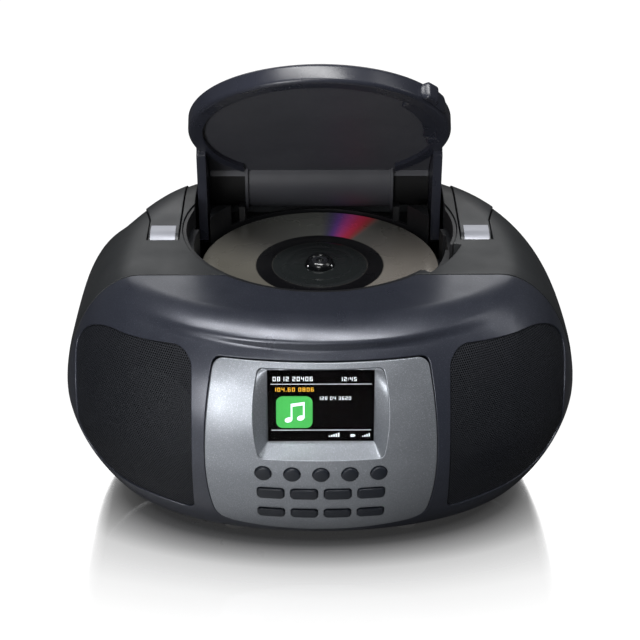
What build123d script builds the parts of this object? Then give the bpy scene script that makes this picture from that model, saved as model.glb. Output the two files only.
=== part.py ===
from build123d import *
from math import cos, pi, radians, sin
import os

# Portable CD radio, millimetres. X runs to the right, Y to the back, Z up.
# The origin is on the floor, under the middle of the cabinet. The lid is
# drawn as it stands when open, and the handle as it lies when down.

# Cabinet skin: half ellipses in plan, superellipses at the back
half_width = 125.0
front_reach = 84.0
rear_reach = 150.0
waist_y = -33.0
belly_z = 65.0
top_z = 129.0
base_z = 2.5
top_inset = 37.5
rear_top_inset = 50.0
base_inset = 42.0
top_power = 1.9
base_power = 1.6
rear_power = 2.5
wall = 2.6
seam_y = -43.0
split_z = 84.0
seam_gap = 0.2

# Front recess under the brow
recess_depth = 4.0
recess_front = front_reach - recess_depth
recess_half = 90.0
brow_z = 121.5

# Speaker grilles, as outlines in the front view: corners from the lower inner one round, and their radii
grille_corners = ((60.4, 27.5), (117.5, 38.0), (117.5, 112.0), (58.8, 116.5))
grille_radii = (4.0, 26.0, 24.0, 8.0)
grille_thick = 1.2
grille_sink = 1.0
grille_gap = 0.25

# Control panel and display
panel_top = 114.0
panel_low = 17.0
panel_top_half = 48.6
panel_mid_half = 53.3
panel_low_half = 49.0
panel_proud = 0.6
panel_thick = 2.2
panel_gap = 0.2
screen_width = 52.0
screen_height = 39.0
screen_z = 92.5
screen_y = -101.4
screen_tilt = 4.8
lens_thick = 1.5
window_half = 30.6
window_low = 70.8
window_high = 111.2

# Keys
round_count = 5
round_pitch = 13.25
round_radius = 3.7
round_z = 62.6
key_columns = 4
key_pitch = 15.5
key_width = 12.3
key_height = 6.6
key_rows = (50.2, 35.2)
key_proud = 1.2
key_travel = 1.0
key_gap = 0.25
board_y = -91.5
board_thick = 1.6
switch_depth = 3.6

# Well, disc and lid
disc_y = 9.0
disc_radius = 60.0
disc_hole = 7.5
disc_thick = 1.2
disc_z = 105.4
well_radius = 66.6
well_wall = 1.7
well_ledge_z = 119.0
tray_radius = 63.2
tray_rim = 1.8
tray_floor_z = 101.5
tray_floor = 2.0
tray_lug_places = ((39.2, 42.5), (58.0, 64.0))
tray_lug_top = 115.0
arm_bay_y = 24.0
hinge_bay_y = 52.0
lid_radius = 65.3
lid_thick = 9.6
lid_wall = 2.2
lid_open = 46.0
hinge_y = 77.0
hinge_z = 124.0
hinge_pin = 2.0
bracket_from, bracket_to = 44.5, 50.5
bracket_radius = 4.0
liner_radius = 57.6
liner_thick = 2.0
rim_round = 2.0
arm_inner = 58.0
arm_outer = 62.7
slot_gap = 1.3
apron_half = 37.5
apron_radius = 16.0
apron_from, apron_to = -4.0, -115.0
skirt_radius = 15.3
skirt_thick = 1.2
rib_width = 1.5
running_gap = 0.06
fit_gap = 0.3

# Finger grip on the lid's rim, angles counted round the disc's centre
grip_from, grip_to = -44.0, -17.0
grip_reach = 72.6
grip_outer = 69.4
grip_floor_z = 119.0

# Carrying handle
handle_inner = 70.0
handle_outer = 90.0
handle_front_half = 84.8
handle_pivot_y = 2.5
handle_pivot_z = 120.6
handle_end = 9.0
handle_bar_y = 88.0
handle_back_y = 99.4
handle_slope = 7.4
handle_corner = 14.0
handle_proud = 0.6
handle_gap = 0.7
channel_wall = 1.6
pivot_pin = 2.5
pivot_seat = 78.0
pivot_reach = 91.0
insert_width = 12.5
insert_flat = 5.0
insert_thick = 1.0

# Disc drive under the well
platter_radius = 13.0
platter_thick = 2.2
hub_radius = 7.35
hub_high = 110.0
shaft_radius = 1.0
motor_radius = 10.0
chassis_z = 86.4
chassis_thick = 2.0
chassis_left = -22.0
chassis_front, chassis_back = -20.0, 44.0
window_left = 14.0
window_reach = 9.0
post_size = 3.0
post_side = 6.0
damper_radius = 4.0
damper_places = ((-16.0, -14.0), (-16.0, 38.0), (52.0, -14.0), (52.0, 38.0))
rail_radius = 1.5
rail_spread = 13.0
rail_z = 94.5
rail_start = 4.0
rail_end = 76.0
lens_start = 24.0
sled_travel = 34.0
sled_half = 11.5
screw_offset = 20.0
feed_radius = 1.5

# Aerial on the back ledge
ledge_y = 100.0
ledge_z = 86.0
ledge_half = 80.0
ledge_wall = 2.4
ledge_rise_half = 88.0
ledge_rise_z = 98.4
aerial_x = 40.0
aerial_y = 105.4
aerial_z = 93.5
aerial_length = 104.0
aerial_radii = (3.5, 3.05, 2.6, 2.15)
aerial_wall = 0.39
aerial_step = 2.5
aerial_neck = 5.2
aerial_knuckle = 3.3
aerial_cheek = 1.5
aerial_post = 2.0

# Speakers
speaker_x = 77.0
speaker_y = -81.0
speaker_z = 76.0
speaker_angle = 27.0
speaker_radius = 28.0
speaker_depth = 24.0
baffle_thick = 2.4

# Battery bay, feet and sockets
bay_half = 54.0
bay_front = -2.0
bay_back = 56.0
bay_top = 36.0
bay_wall = 2.0
door_half = 50.0
door_front = 2.0
door_back = 52.0
door_thick = 2.3
door_open_gap = 0.4
door_pin = 0.6
door_pin_reach = 53.0
door_axis_y = door_front + door_thick / 2
door_axis_z = base_z + door_thick / 2
foot_radius = 7.0
feet = ((42.0, -60.0), (60.0, 36.0))
socket_y = 111.0
socket_half = 36.0
socket_low = 38.0
socket_high = 64.0
socket_z = 51.0

# Sockets: place along the back, barrel radius, bore radius
socket_places = ((-22.0, 4.0, 1.8), (0.0, 4.0, 1.8), (22.0, 5.0, 2.8))

# Screws through the front seam and through the split
lug_heights = (38.0, 78.0)
lug_x = 111.0
lug_reach = 10.0
lug_size = 11.0
split_lugs = ((112.0, 8.0), (92.0, 66.0))
screw_radius = 1.5
screw_core = 1.5
screw_length = 13.0
screw_head = 2.8
screw_head_thick = 2.0

far = 400.0


# Plain solids between two corners or along an axis

def block(x0, x1, y0, y1, z0, z1):
    size = (abs(x1 - x0), abs(y1 - y0), abs(z1 - z0))
    return Pos((x0 + x1) / 2, (y0 + y1) / 2, (z0 + z1) / 2) * Box(*size)


def rod(x, y, z, radius, length, axis="Z"):
    turn = {"X": Rot(0, 90, 0), "Y": Rot(-90, 0, 0), "Z": Rot(0, 0, 0)}[axis]
    along = Pos(0, 0, length / 2)
    return Pos(x, y, z) * turn * along * Cylinder(radius, length)


def ring(x, y, z, outer, inner, length, axis="Z"):
    return rod(x, y, z, outer, length, axis) - rod(x, y, z, inner, length, axis)


def front_outline(points, radii, y0, y1):
    # A closed outline in the front view, its corners rounded, run along Y
    wire = FilletPolyline(*points, radius=radii, close=True)
    face = Plane.XZ * make_face(wire)
    return Pos(0, y1, 0) * extrude(face, y1 - y0)


def side_outline(points, x0, x1):
    # A closed outline of Y and Z run along X
    face = Plane.YZ * make_face(Polyline(*points, close=True))
    return Pos(x0, 0, 0) * extrude(face, x1 - x0)


def plan_sector(radius, from_angle, to_angle, z0, z1):
    # A slice of a round about the disc's centre
    arc = CenterArc((0, 0), radius, from_angle, to_angle - from_angle)
    face = make_face([arc, Line((0, 0), arc @ 0), Line(arc @ 1, (0, 0))])
    return Pos(0, disc_y, z0) * extrude(face, z1 - z0)


def both_sides(solid):
    return solid + mirror(solid, about=Plane.YZ)


def joined(pieces):
    # Separate solids kept side by side in one node
    return Compound(children=[s for piece in pieces for s in piece.solids()])


# Cabinet skin

def inset_share(t, power):
    # 0 at the belly and 1 at the flat, on a superellipse quarter
    return 1 - (1 - min(t, 1.0) ** power) ** (1 / power)


def skin_spans(z, depth, front, half):
    # Half width, front span and rear span of the section at one height
    if z >= belly_z:
        t = (z - belly_z) / (top_z - depth - belly_z)
        side = top_inset * inset_share(t, top_power)
        back = rear_top_inset * inset_share(t, top_power)
    else:
        t = (belly_z - z) / (belly_z - depth)
        side = base_inset * inset_share(t, base_power)
        back = side
    return half - depth - side, front - depth - side, rear_reach - depth - back


def skin_section(z, depth, front, half):
    wide, ahead, behind = skin_spans(z, depth, front, half)
    steps = 8
    back = []
    for i in range(steps + 1):
        turn = pi * i / steps
        across, along = cos(turn), sin(turn)
        x = wide * abs(across) ** (2 / rear_power) * (1 if across > 0 else -1)
        back.append((x, waist_y + behind * along ** (2 / rear_power)))
    rear = Spline(*back, tangents=((0, 1), (0, -1)))
    nose = EllipticalCenterArc((0, waist_y), wide, ahead, 180, arc_size=180)
    return Pos(0, 0, z) * make_face([rear, nose])


def skin(depth=0.0, front=front_reach, half=half_width):
    # The cabinet's outer form, drawn in by a depth all round
    low_steps, high_steps = 6, 7
    low = base_z + depth
    rise = top_z - depth - belly_z
    drop = belly_z - low
    heights = [belly_z - drop * sin(pi / 2 * i / low_steps) for i in range(low_steps, 0, -1)]
    heights += [belly_z + rise * sin(pi / 2 * i / high_steps) for i in range(high_steps + 1)]
    return loft([skin_section(z, depth, front, half) for z in heights])


def front_y(x, z, depth=0.0, front=front_reach, half=half_width):
    # Where a front skin lies, at one place of the front view
    wide, ahead, _ = skin_spans(z, depth, front, half)
    return waist_y - ahead * (1 - (x / wide) ** 2) ** 0.5


def recess_half_width():
    # The recess ellipse meets the outer skin at recess_half
    share = 1 - (recess_half / half_width) ** 2
    drawn = front_reach * share ** 0.5 / recess_front
    return recess_half / (1 - drawn ** 2) ** 0.5


def recess_skin(depth):
    return skin(depth, recess_front, recess_half_width())


def recess_y(x, z, depth=0.0):
    return front_y(x, z, depth, recess_front, recess_half_width())


outer_skin = skin()
inner_skin = skin(wall)
shell = outer_skin - inner_skin
skin_middle = skin(wall / 2)
ahead_of_seam = block(-far, far, -far, seam_y - seam_gap / 2, 0, far)
behind_seam = block(-far, far, seam_y + seam_gap / 2, far, 0, far)


# Front view outlines

def grille_outline(grow=0.0, back=waist_y - 20):
    outwards = ((-1, -1), (1, -1), (1, 1), (-1, 1))
    corners = [(x + grow * a, z + grow * b) for (x, z), (a, b) in zip(grille_corners, outwards)]
    return front_outline(corners, grille_radii, -far / 2, back)


def panel_outline(grow=0.0):
    top, mid, low = panel_top_half + grow, panel_mid_half + grow, panel_low_half + grow
    high, deep = panel_top + grow, panel_low - grow
    middle = (panel_top + panel_low) / 2 + 8
    corner = deep + 7.5
    right = ThreePointArc((low, corner), (mid, middle), (top, high))
    left = ThreePointArc((-top, high), (-mid, middle), (-low, corner))
    foot = ThreePointArc((-low, corner), (0, deep), (low, corner))
    face = make_face([right, Line((top, high), (-top, high)), left, foot])
    upper = [v for v in face.vertices() if v.Y > middle]
    lower = [v for v in face.vertices() if v.Y < middle]
    face = fillet(upper, 4.0)
    lower = [v for v in face.vertices() if v.Y < middle - 10]
    face = fillet(lower, 8.0)
    return Pos(0, waist_y, 0) * extrude(Plane.XZ * face, far / 2)


# Fascia

def fascia():
    cavity = skin(wall, recess_front)
    body = (outer_skin & ahead_of_seam) - cavity
    hollow = block(-recess_half - 4, recess_half + 4, -far, seam_y - 20, 0, brow_z)
    opening = rod(0, disc_y, tray_floor_z, well_radius + well_wall + fit_gap, far)
    body = body - [hollow - recess_skin(0.0), both_sides(grille_outline(0, waist_y - 19)),
                   panel_outline(panel_gap), opening]
    near = seam_y - seam_gap / 2
    lugs = [both_sides(seam_lug(z, near - lug_reach, near)) for z in lug_heights]
    body = body + [lug & skin_middle for lug in lugs]
    return body - [both_sides(rod(lug_x, seam_y - 9, z, screw_core, 10, "Y")) for z in lug_heights]


def seam_lug(z, y0, y1):
    # A screw lug that grows from the side wall
    half = lug_size / 2
    return block(lug_x - half, half_width, y0, y1, z - half, z + half)


def grille(side):
    sheet = (grille_outline(-grille_gap) & skin(grille_sink)) - skin(grille_sink + grille_thick)
    sheet = max(sheet.solids(), key=lambda s: s.volume)
    if side < 0:
        sheet = mirror(sheet, about=Plane.YZ)
    return sheet


# Control panel with its deep display window

def window_taper():
    # The window narrows from the panel's face to the screen
    screen = Pos(0, screen_y, screen_z) * Rot(-screen_tilt, 0, 0) * Rot(90, 0, 0)
    inner = screen * Rectangle(screen_width - 2.4, screen_height - 1.4)
    mouth = (window_high + window_low) / 2
    outer = Pos(0, -118.0, mouth) * Rot(90, 0, 0) * Rectangle(2 * window_half + 3, 43.5)
    return loft([inner.faces()[0], outer.faces()[0]])


def screen_slab(depth, thick, width, height):
    # A flat slab parallel to the screen, its face a depth behind it
    lean = Pos(0, screen_y, screen_z) * Rot(-screen_tilt, 0, 0)
    return lean * Pos(0, depth + thick / 2, 0) * Box(width, thick, height)


def control_panel():
    face = recess_skin(-panel_proud)
    plate = (panel_outline() & face) - recess_skin(panel_thick - panel_proud)
    frame_half = window_half + 1.6
    frame = block(-frame_half, frame_half, -far, screen_y + 5.0, window_low - 1.8, window_high + 2.4)
    frame = frame & face
    room = screen_slab(0, 30, screen_width + 2 * panel_gap, screen_height + 2 * panel_gap)
    body = plate + frame
    body = body - [window_taper(), room] - [outline(key_gap) for _, _, outline in key_places()]
    for x in (-46.0, 46.0):
        for z in (31.0, 67.0):
            post_y = recess_y(x, z, 1.0)
            body += rod(x, post_y, z, 2.6, board_y - post_y, "Y")
    return max(body.solids(), key=lambda s: s.volume)


# Keys

def round_outline(x, z):
    return lambda grow: rod(x, -far / 2, z, round_radius + grow, far / 2 - 60, "Y")


def bar_outline(x, z):
    def shape(grow):
        wide, high = key_width / 2 + grow, key_height / 2 + grow
        corners = [(x - wide, z - high), (x + wide, z - high), (x + wide, z + high), (x - wide, z + high)]
        return front_outline(corners, 1.6 + grow, -far / 2, -60)
    return shape


def key_places():
    places = []
    for i in range(round_count):
        x = (i - (round_count - 1) / 2) * round_pitch
        places.append((x, round_z, round_outline(x, round_z)))
    for z in key_rows:
        for i in range(key_columns):
            x = (i - (key_columns - 1) / 2) * key_pitch
            places.append((x, z, bar_outline(x, z)))
    return places


key_skin = recess_skin(-panel_proud - key_proud)


def key(x, z, outline):
    back = recess_y(x, z) + 5.2
    cap = outline(0) & key_skin & block(-far, far, -far, back, 0, far)
    flange = outline(0.9) & block(-far, far, back - 0.2, back + 1.0, 0, far)
    stem_end = board_y - switch_depth - key_travel - 0.1
    stem = rod(x, back + 0.9, z, 1.6, stem_end - back - 0.9, "Y")
    return cap + flange + stem


def key_board():
    return block(-47.5, 47.5, board_y, board_y + board_thick, 28, 109)


def key_switches():
    switches = []
    for x, z, _ in key_places():
        can = block(x - 3, x + 3, board_y - 2.6, board_y, z - 3, z + 3)
        nub = rod(x, board_y - switch_depth, z, 1.7, 1.0, "Y")
        switches.append(can + nub)
    return joined(switches)


def display_module():
    glass = screen_slab(lens_thick, 3.0, screen_width, screen_height)
    back = block(-22, 22, screen_y + 1.0, board_y, 80, 105)
    return glass + (back - screen_slab(lens_thick - 5, 6.0, 80, 80))


# Round opening in the top, with the disc well below it

def well_cut(radius):
    return rod(0, disc_y, tray_floor_z, radius, far)


def grip_recess(grow=0.0):
    # The bite in the deck that the lid's finger grip drops into
    return plan_sector(grip_reach + grow, grip_from - grow, grip_to + grow,
                       grip_floor_z - grow, far)


def lid_bay():
    # Room behind the round opening for the lid's hinge end
    back = hinge_y + 5.6
    return block(-arm_outer - slot_gap, arm_outer + slot_gap, disc_y, back, well_ledge_z - 16, far)


def handle_plan(grow=0.0):
    # The handle's U in plan, grown by a gap or a wall
    front = handle_pivot_y - handle_end - grow
    near, off = handle_inner - grow, handle_outer + grow
    back = handle_back_y + far
    tip = handle_front_half + grow
    straight, wide = handle_pivot_y + handle_end + 2, 42
    outer = Polyline((-tip, front), (tip, front), (tip, straight), (off, wide), (off, back),
                     (-off, back), (-off, wide), (-tip, straight), close=True)
    bar = handle_bar_y - grow
    inner = FilletPolyline((-near, front - far), (near, front - far), (near, bar), (-near, bar),
                           radius=(0.5, 0.5, handle_corner, handle_corner), close=True)
    return extrude(make_face(outer), far) - extrude(make_face(inner), far)


def handle_above(drop=0.0):
    # All that lies above the handle's sloping underside
    pivot = Pos(0, handle_pivot_y, handle_pivot_z) * Rot(-handle_slope, 0, 0)
    return pivot * Pos(0, 0, far / 2 - handle_end - drop) * Box(2 * far, 2 * far, far)


def handle_nose(grow=0.0):
    # The arms' round front ends, and all that lies behind the pivot
    nose = rod(-far, handle_pivot_y, handle_pivot_z, handle_end + grow, 2 * far, "X")
    behind = block(-far, far, handle_pivot_y, far, 0, far)
    return nose + behind


def handle_body():
    body = skin(-handle_proud) & handle_plan() & handle_above() & handle_nose()
    body = body & block(-far, far, -far, handle_back_y, 0, far)
    length = pivot_reach - pivot_seat
    pin = rod(pivot_seat, handle_pivot_y, handle_pivot_z, pivot_pin, length, "X")
    body = body - [handle_insert(1), handle_insert(-1), both_sides(pin)]
    return max(body.solids(), key=lambda s: s.volume)


def handle_insert(side):
    # A bright plate that bends over the arm's round front end
    middle = side * (handle_inner + 1.6 + insert_width / 2)
    x0, x1 = middle - insert_width / 2, middle + insert_width / 2
    bend = ring(x0, handle_pivot_y, handle_pivot_z, handle_end, handle_end - insert_thick,
                insert_width, "X")
    bend = bend & block(x0, x1, handle_pivot_y - handle_end, handle_pivot_y,
                        handle_pivot_z + 3, far)
    top = handle_pivot_z + handle_end
    flat = block(x0, x1, handle_pivot_y, handle_pivot_y + insert_flat, top - insert_thick, top)
    return bend + flat


def handle_pivots():
    length = pivot_reach - pivot_seat
    right = rod(pivot_seat, handle_pivot_y, handle_pivot_z, pivot_pin, length, "X")
    left = rod(-pivot_reach, handle_pivot_y, handle_pivot_z, pivot_pin, length, "X")
    return joined([right, left])


def handle_channel(grow):
    # Its front wall is upright above the pivots, so that the arms can rise
    gap = handle_gap + grow
    room = handle_plan(gap) & handle_above(gap)
    front = block(-far, far, handle_pivot_y - handle_end - gap, far, handle_pivot_z, far)
    return room & (handle_nose(gap) + front)


def top_cover():
    lining = handle_channel(channel_wall) & block(-far, far, -far, ledge_y + 0.1, 0, far)
    boss = both_sides(block(handle_front_half, pivot_reach + 3, handle_pivot_y - 5,
                            handle_pivot_y + 5, handle_pivot_z - 6, handle_pivot_z + 4))
    opening = well_radius + well_wall + fit_gap
    collar = ring(0, disc_y, well_ledge_z - 4, opening + 1.5, opening,
                  top_z - wall / 2 - well_ledge_z + 4)
    ledge = block(-ledge_half, ledge_half, ledge_y - ledge_wall, far, split_z + seam_gap, ledge_z)
    rise = block(-ledge_rise_half, ledge_rise_half, ledge_y - ledge_wall, ledge_y,
                 split_z + seam_gap, ledge_rise_z)
    lugs = [both_sides(split_lug(x, y, split_z + seam_gap, split_z + 9)) for x, y in split_lugs]
    inside = lining + [boss, collar, grip_recess(channel_wall), ledge, rise] + lugs
    upper = block(-far, far, seam_y + seam_gap / 2, far, split_z + seam_gap, far)
    body = (shell & upper) + (inside & skin_middle & upper)
    pivots = rod(pivot_seat, handle_pivot_y, handle_pivot_z, pivot_pin + running_gap,
                 pivot_reach - pivot_seat + 0.1, "X")
    screws = [both_sides(rod(x, y, split_z, screw_core, 9.5)) for x, y in split_lugs]
    screws.append(rod(aerial_x, aerial_y, split_z, aerial_post + running_gap, 4))
    cuts = [handle_channel(0), block(-far, far, ledge_y, far, ledge_z, far), well_cut(opening),
            lid_bay(), grip_recess(), both_sides(pivots)]
    body = body - (cuts + screws)
    lip = ring(0, disc_y, well_ledge_z - 4, opening + 0.5,
               tray_radius + tray_rim + fit_gap, 2.0)
    body = body + (lip & behind_seam - lid_bay()) + both_sides(hinge_bracket())
    return max(body.solids(), key=lambda s: s.volume)


def hinge_bracket():
    # Holds the lid's pin from behind, inside the sweep of the apron and its skirts
    back = handle_bar_y - handle_gap - channel_wall / 2
    arm = [(hinge_y - 1, hinge_z - bracket_radius), (80.0, 115.5), (84.0, 113.2), (back, 112.0),
           (back, 117.4), (82.0, 122.0), (hinge_y + 1, hinge_z + bracket_radius)]
    width = bracket_to - bracket_from
    body = side_outline(arm, bracket_from, bracket_to)
    body += rod(bracket_from, hinge_y, hinge_z, bracket_radius, width, "X")
    return body - rod(bracket_from - 1, hinge_y, hinge_z, hinge_pin + running_gap, width + 2, "X")


def split_lug(x, y, z0, z1):
    half = lug_size / 2
    return block(x - half, x + half + 14, y - half, y + half + 6, z0, z1)


def rear_cabinet():
    lower = block(-far, far, seam_y + seam_gap / 2, far, 0, split_z)
    seat = block(-socket_half - 2, socket_half + 2, socket_y - 2.4, far, socket_low - 2, socket_high + 2)
    near = seam_y + seam_gap / 2
    lugs = [both_sides(seam_lug(z, near, near + 5)) for z in lug_heights if z < split_z]
    lugs += [both_sides(split_lug(x, y, split_z - 6, split_z)) for x, y in split_lugs]
    body = (shell & lower) + (seat + lugs & skin_middle)
    cuts = [block(-socket_half, socket_half, socket_y, far, socket_low, socket_high),
            block(-door_half, door_half, door_axis_y - door_thick / 2 - door_open_gap, door_back,
                  0, base_z + wall + 1)]
    cuts += [rod(x, socket_y - 5, socket_z, radius + 0.1, 10, "Y") for x, radius, _ in socket_places]
    cuts += [both_sides(rod(lug_x, seam_y, z, screw_radius + 0.1, 10, "Y")) for z in lug_heights]
    cuts += [both_sides(rod(x, y, split_z - 10, screw_radius + 0.1, 12)) for x, y in split_lugs]
    cuts.append(rod(-door_pin_reach, door_axis_y, door_axis_z, door_pin + running_gap,
                    2 * door_pin_reach, "X"))
    body = body - cuts
    return max(body.solids(), key=lambda s: s.volume)


def socket(x, barrel, bore):
    body = block(x - 6, x + 6, socket_y - 16.4, socket_y - 2.4, socket_z - 6, socket_z + 6)
    body += rod(x, socket_y - 2.6, socket_z, barrel, 3.0, "Y")
    return body - rod(x, socket_y - 14, socket_z, bore, 20, "Y")


def rear_sockets():
    return joined([socket(*place) for place in socket_places])


# Disc well

def cd_tray():
    bottom = tray_floor_z - tray_floor
    outer = well_radius + well_wall
    cup = rod(0, disc_y, bottom, tray_radius + tray_rim, well_ledge_z - bottom)
    shelf = rod(0, disc_y, well_ledge_z - 2, outer, top_z - 0.8 - well_ledge_z + 2)
    body = cup + shelf
    reach = arm_outer + slot_gap
    slot = block(arm_inner - slot_gap, reach, arm_bay_y, hinge_y + 6, 0, far)
    places = [rod(0, disc_y, well_ledge_z, well_radius, far),
              rod(0, disc_y, tray_floor_z, tray_radius, far),
              block(-reach, reach, arm_bay_y + 0.5, far, well_ledge_z, far),
              block(-reach, reach, hinge_bay_y, far, hinge_z - apron_radius - 1.0, far),
              rod(0, disc_y, 0, platter_radius + 1.0, far),
              block(lens_start - 9, lens_start + sled_travel + 6, disc_y - 8, disc_y + 8, 0, far),
              both_sides(slot), grip_recess()]
    body = body - places
    (near, off), (front, back) = tray_lug_places
    lugs = both_sides(block(near, off, front, back, tray_floor_z - 0.5, tray_lug_top))
    lugs = lugs - rod(0, disc_y, disc_z - 2, disc_radius + 1, far)
    body = body + lugs
    return max(body.solids(), key=lambda s: s.volume)


def cd_disc():
    return ring(0, disc_y, disc_z, disc_radius, disc_hole, disc_thick)


def turntable():
    low = disc_z - platter_thick
    body = rod(0, disc_y, low, platter_radius, platter_thick)
    body += rod(0, disc_y, disc_z - 0.1, hub_radius, hub_high - 2 - disc_z + 0.1)
    nose = Pos(0, disc_y, hub_high - 1) * Cone(hub_radius, hub_radius - 2.2, 2)
    shaft = rod(0, disc_y, chassis_z + chassis_thick + 2, shaft_radius, low - chassis_z - 4)
    return body + nose + shaft


def spindle_motor():
    low = chassis_z + chassis_thick
    can = rod(0, disc_y, low, motor_radius, 9.0)
    neck = rod(0, disc_y, low + 9, 3.2, 1.6)
    return can + neck - rod(0, disc_y, low + 1.6, shaft_radius + running_gap, 20)


def cd_chassis():
    low, top = chassis_z, chassis_z + chassis_thick
    plate = block(chassis_left, rail_end + 2, chassis_front, chassis_back, low, top)
    window = block(window_left, rail_end - post_side, disc_y - window_reach, disc_y + window_reach, 0, far)
    holders = []
    for side in (-1, 1):
        y = disc_y + side * rail_spread
        for x in (rail_start, rail_end - post_size):
            post = block(x, x + post_size, y - post_size, y + post_size, top, rail_z + post_size)
            holders.append(post - rod(x - 1, y, rail_z, rail_radius, 9, "X"))
    y = disc_y + screw_offset
    end = block(rail_end - post_size, rail_end, y - post_size, y + post_size, top, rail_z + post_size)
    holders.append(end - rod(rail_end - 4, y, rail_z, feed_radius + running_gap, 9, "X"))
    return plate - window + holders


def chassis_dampers():
    low = chassis_z + chassis_thick
    high = tray_floor_z - tray_floor
    return joined([rod(x, y, low, damper_radius, high - low) for x, y in damper_places])


def sled_rails():
    length = rail_end - rail_start
    return joined([rod(rail_start, disc_y + side * rail_spread, rail_z, rail_radius, length, "X")
                   for side in (-1, 1)])


def laser_sled():
    x0, x1 = lens_start - sled_half, lens_start + sled_half
    body = block(x0, x1, disc_y - 16.2, disc_y + 16.2, rail_z - 3, rail_z + 3.6)
    body += rod(lens_start, disc_y, rail_z + 3, 5.0, 3.4)
    body += block(x0 + 4, x1 - 4, disc_y + 16, disc_y + screw_offset - feed_radius - 0.1,
                  rail_z - 2, rail_z + 2)
    for side in (-1, 1):
        body -= rod(x0 - 1, disc_y + side * rail_spread, rail_z, rail_radius + running_gap,
                    2 * sled_half + 2, "X")
    return body - rod(lens_start, disc_y, rail_z + 5, 2.4, 6)


def laser_lens():
    low = rail_z + 5
    dome = Pos(lens_start, disc_y, low + 1.4) * Sphere(2.4) & rod(lens_start, disc_y, low + 1.4, 3, 3)
    return rod(lens_start, disc_y, low, 2.4, 1.4) + dome


def sled_screw():
    start = rail_start - 5
    return rod(start, disc_y + screw_offset, rail_z, feed_radius, rail_end - 1 - start, "X")


def sled_motor():
    y = disc_y + screw_offset
    can = rod(rail_start - 16, y, rail_z, 4.8, 14, "X")
    neck = rod(rail_start - 2, y, rail_z, 2.6, 1.6, "X")
    foot = block(rail_start - 14, rail_start - 4, y - 4, y + 4, chassis_z + chassis_thick, rail_z)
    return can + neck + foot - rod(rail_start - 6, y, rail_z, feed_radius + running_gap, 30, "X")


# Lid, drawn shut and then swung open about its hinge

def opened(solid):
    return solid.rotate(Axis((0, hinge_y, hinge_z), (1, 0, 0)), -lid_open)


def hinge_polar(radius, angle):
    # A place about the hinge, its angle counted up from straight ahead
    return (hinge_y - radius * cos(radians(angle)), hinge_z + radius * sin(radians(angle)))


def lid_arm():
    front = (29.4, top_z - lid_thick + 2)
    outline = [front, (29.4, 117.0), (67.5, 84.8), (74.0, 85.8), (81.0, 118.0),
               (hinge_y, top_z - lid_wall), (29.4, top_z - lid_wall)]
    plate = side_outline(outline, arm_inner, arm_outer)
    return plate + rod(arm_inner, hinge_y, hinge_z, 5.0, arm_outer - arm_inner, "X")


def lid_shell():
    low = top_z - lid_thick
    back = hinge_y - 11
    solid = rod(0, disc_y, low, lid_radius, lid_thick)
    solid += block(-arm_outer, arm_outer, disc_y, back, low, top_z)
    solid = fillet(solid.faces().sort_by(Axis.Z)[-1].edges(), rim_round)
    solid = fillet(solid.faces().sort_by(Axis.Z)[0].edges(), rim_round)
    room = rod(0, disc_y, low - 1, lid_radius - lid_wall, lid_thick - lid_wall + 1)
    room += block(-arm_outer + lid_wall, arm_outer - lid_wall, disc_y, back - lid_wall,
                  low - 1, top_z - lid_wall)
    flange = ring(0, disc_y, low, lid_radius - rim_round, liner_radius + 0.5, lid_wall)
    flange -= block(-apron_half - 2, apron_half + 2, 50, far, 0, far)
    body = solid - room + flange + both_sides(lid_arm())
    body -= both_sides(rod(arm_inner - 1, hinge_y, hinge_z, hinge_pin, 9, "X"))
    return max(body.solids(), key=lambda s: s.volume)


def lid_liner():
    low = top_z - lid_thick + lid_wall
    plate = rod(0, disc_y, low, lid_radius - lid_wall - fit_gap, liner_thick)
    plate -= both_sides(block(arm_inner - fit_gap, far, 20, far, 0, far))
    bridge = block(-apron_half, apron_half, 50, hinge_y - apron_radius + 0.6, low, low + liner_thick)
    tube = ring(-apron_half, hinge_y, hinge_z, apron_radius, apron_radius - liner_thick,
                2 * apron_half, "X")
    middle = (apron_from + apron_to) / 2
    keep = [hinge_polar(0, 0), hinge_polar(30, apron_from), hinge_polar(34, middle),
            hinge_polar(30, apron_to)]
    wedge = side_outline(keep, -far, far)
    rib = ring(apron_half, hinge_y, hinge_z, apron_radius + 2, apron_radius - 2, rib_width, "X")
    body = plate + bridge + (tube & wedge) + both_sides(rib & wedge) + both_sides(lid_skirt(low, wedge))
    return max(body.solids(), key=lambda s: s.volume)


def lid_skirt(low, wedge):
    # Closes the lid's lower end between the apron and the arm
    near, off = apron_half + rib_width, arm_inner - fit_gap
    curve = ring(near, hinge_y, hinge_z, skirt_radius, skirt_radius - skirt_thick, off - near, "X")
    shelf = block(near - 0.1, off, disc_y + 20, hinge_y - skirt_radius + 0.6, low, low + liner_thick)
    return (curve & wedge) + shelf


def lid_grip():
    # The grip reaches out from the lid's rim on the right
    low, high = top_z - lid_thick + 1.2, top_z - 0.6
    outer = plan_sector(grip_outer, grip_from + 0.9, grip_to - 0.9, low, high)
    body = outer - rod(0, disc_y, 0, lid_radius + 0.06, far)
    nub = plan_sector(grip_outer, grip_from + 0.9, grip_from + 5, low - 0.8, low + 0.1)
    return body + (nub - rod(0, disc_y, 0, lid_radius + 1.5, far))


def lid_pins():
    start = bracket_from + 0.2
    right = rod(start, hinge_y, hinge_z, hinge_pin, arm_outer - start, "X")
    return joined([right, mirror(right, about=Plane.YZ)])


def lid_springs():
    wire, turns, pitch = 0.4, 5, 1.0
    path = Helix(pitch, turns * pitch, 2.9)
    curl = sweep((path ^ 0) * Circle(wire), path)
    start = arm_inner - wire - turns * pitch
    curl = Pos(start, hinge_y, hinge_z) * Rot(0, 90, 0) * curl
    return joined([curl, mirror(curl, about=Plane.YZ)])


# Speakers

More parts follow.
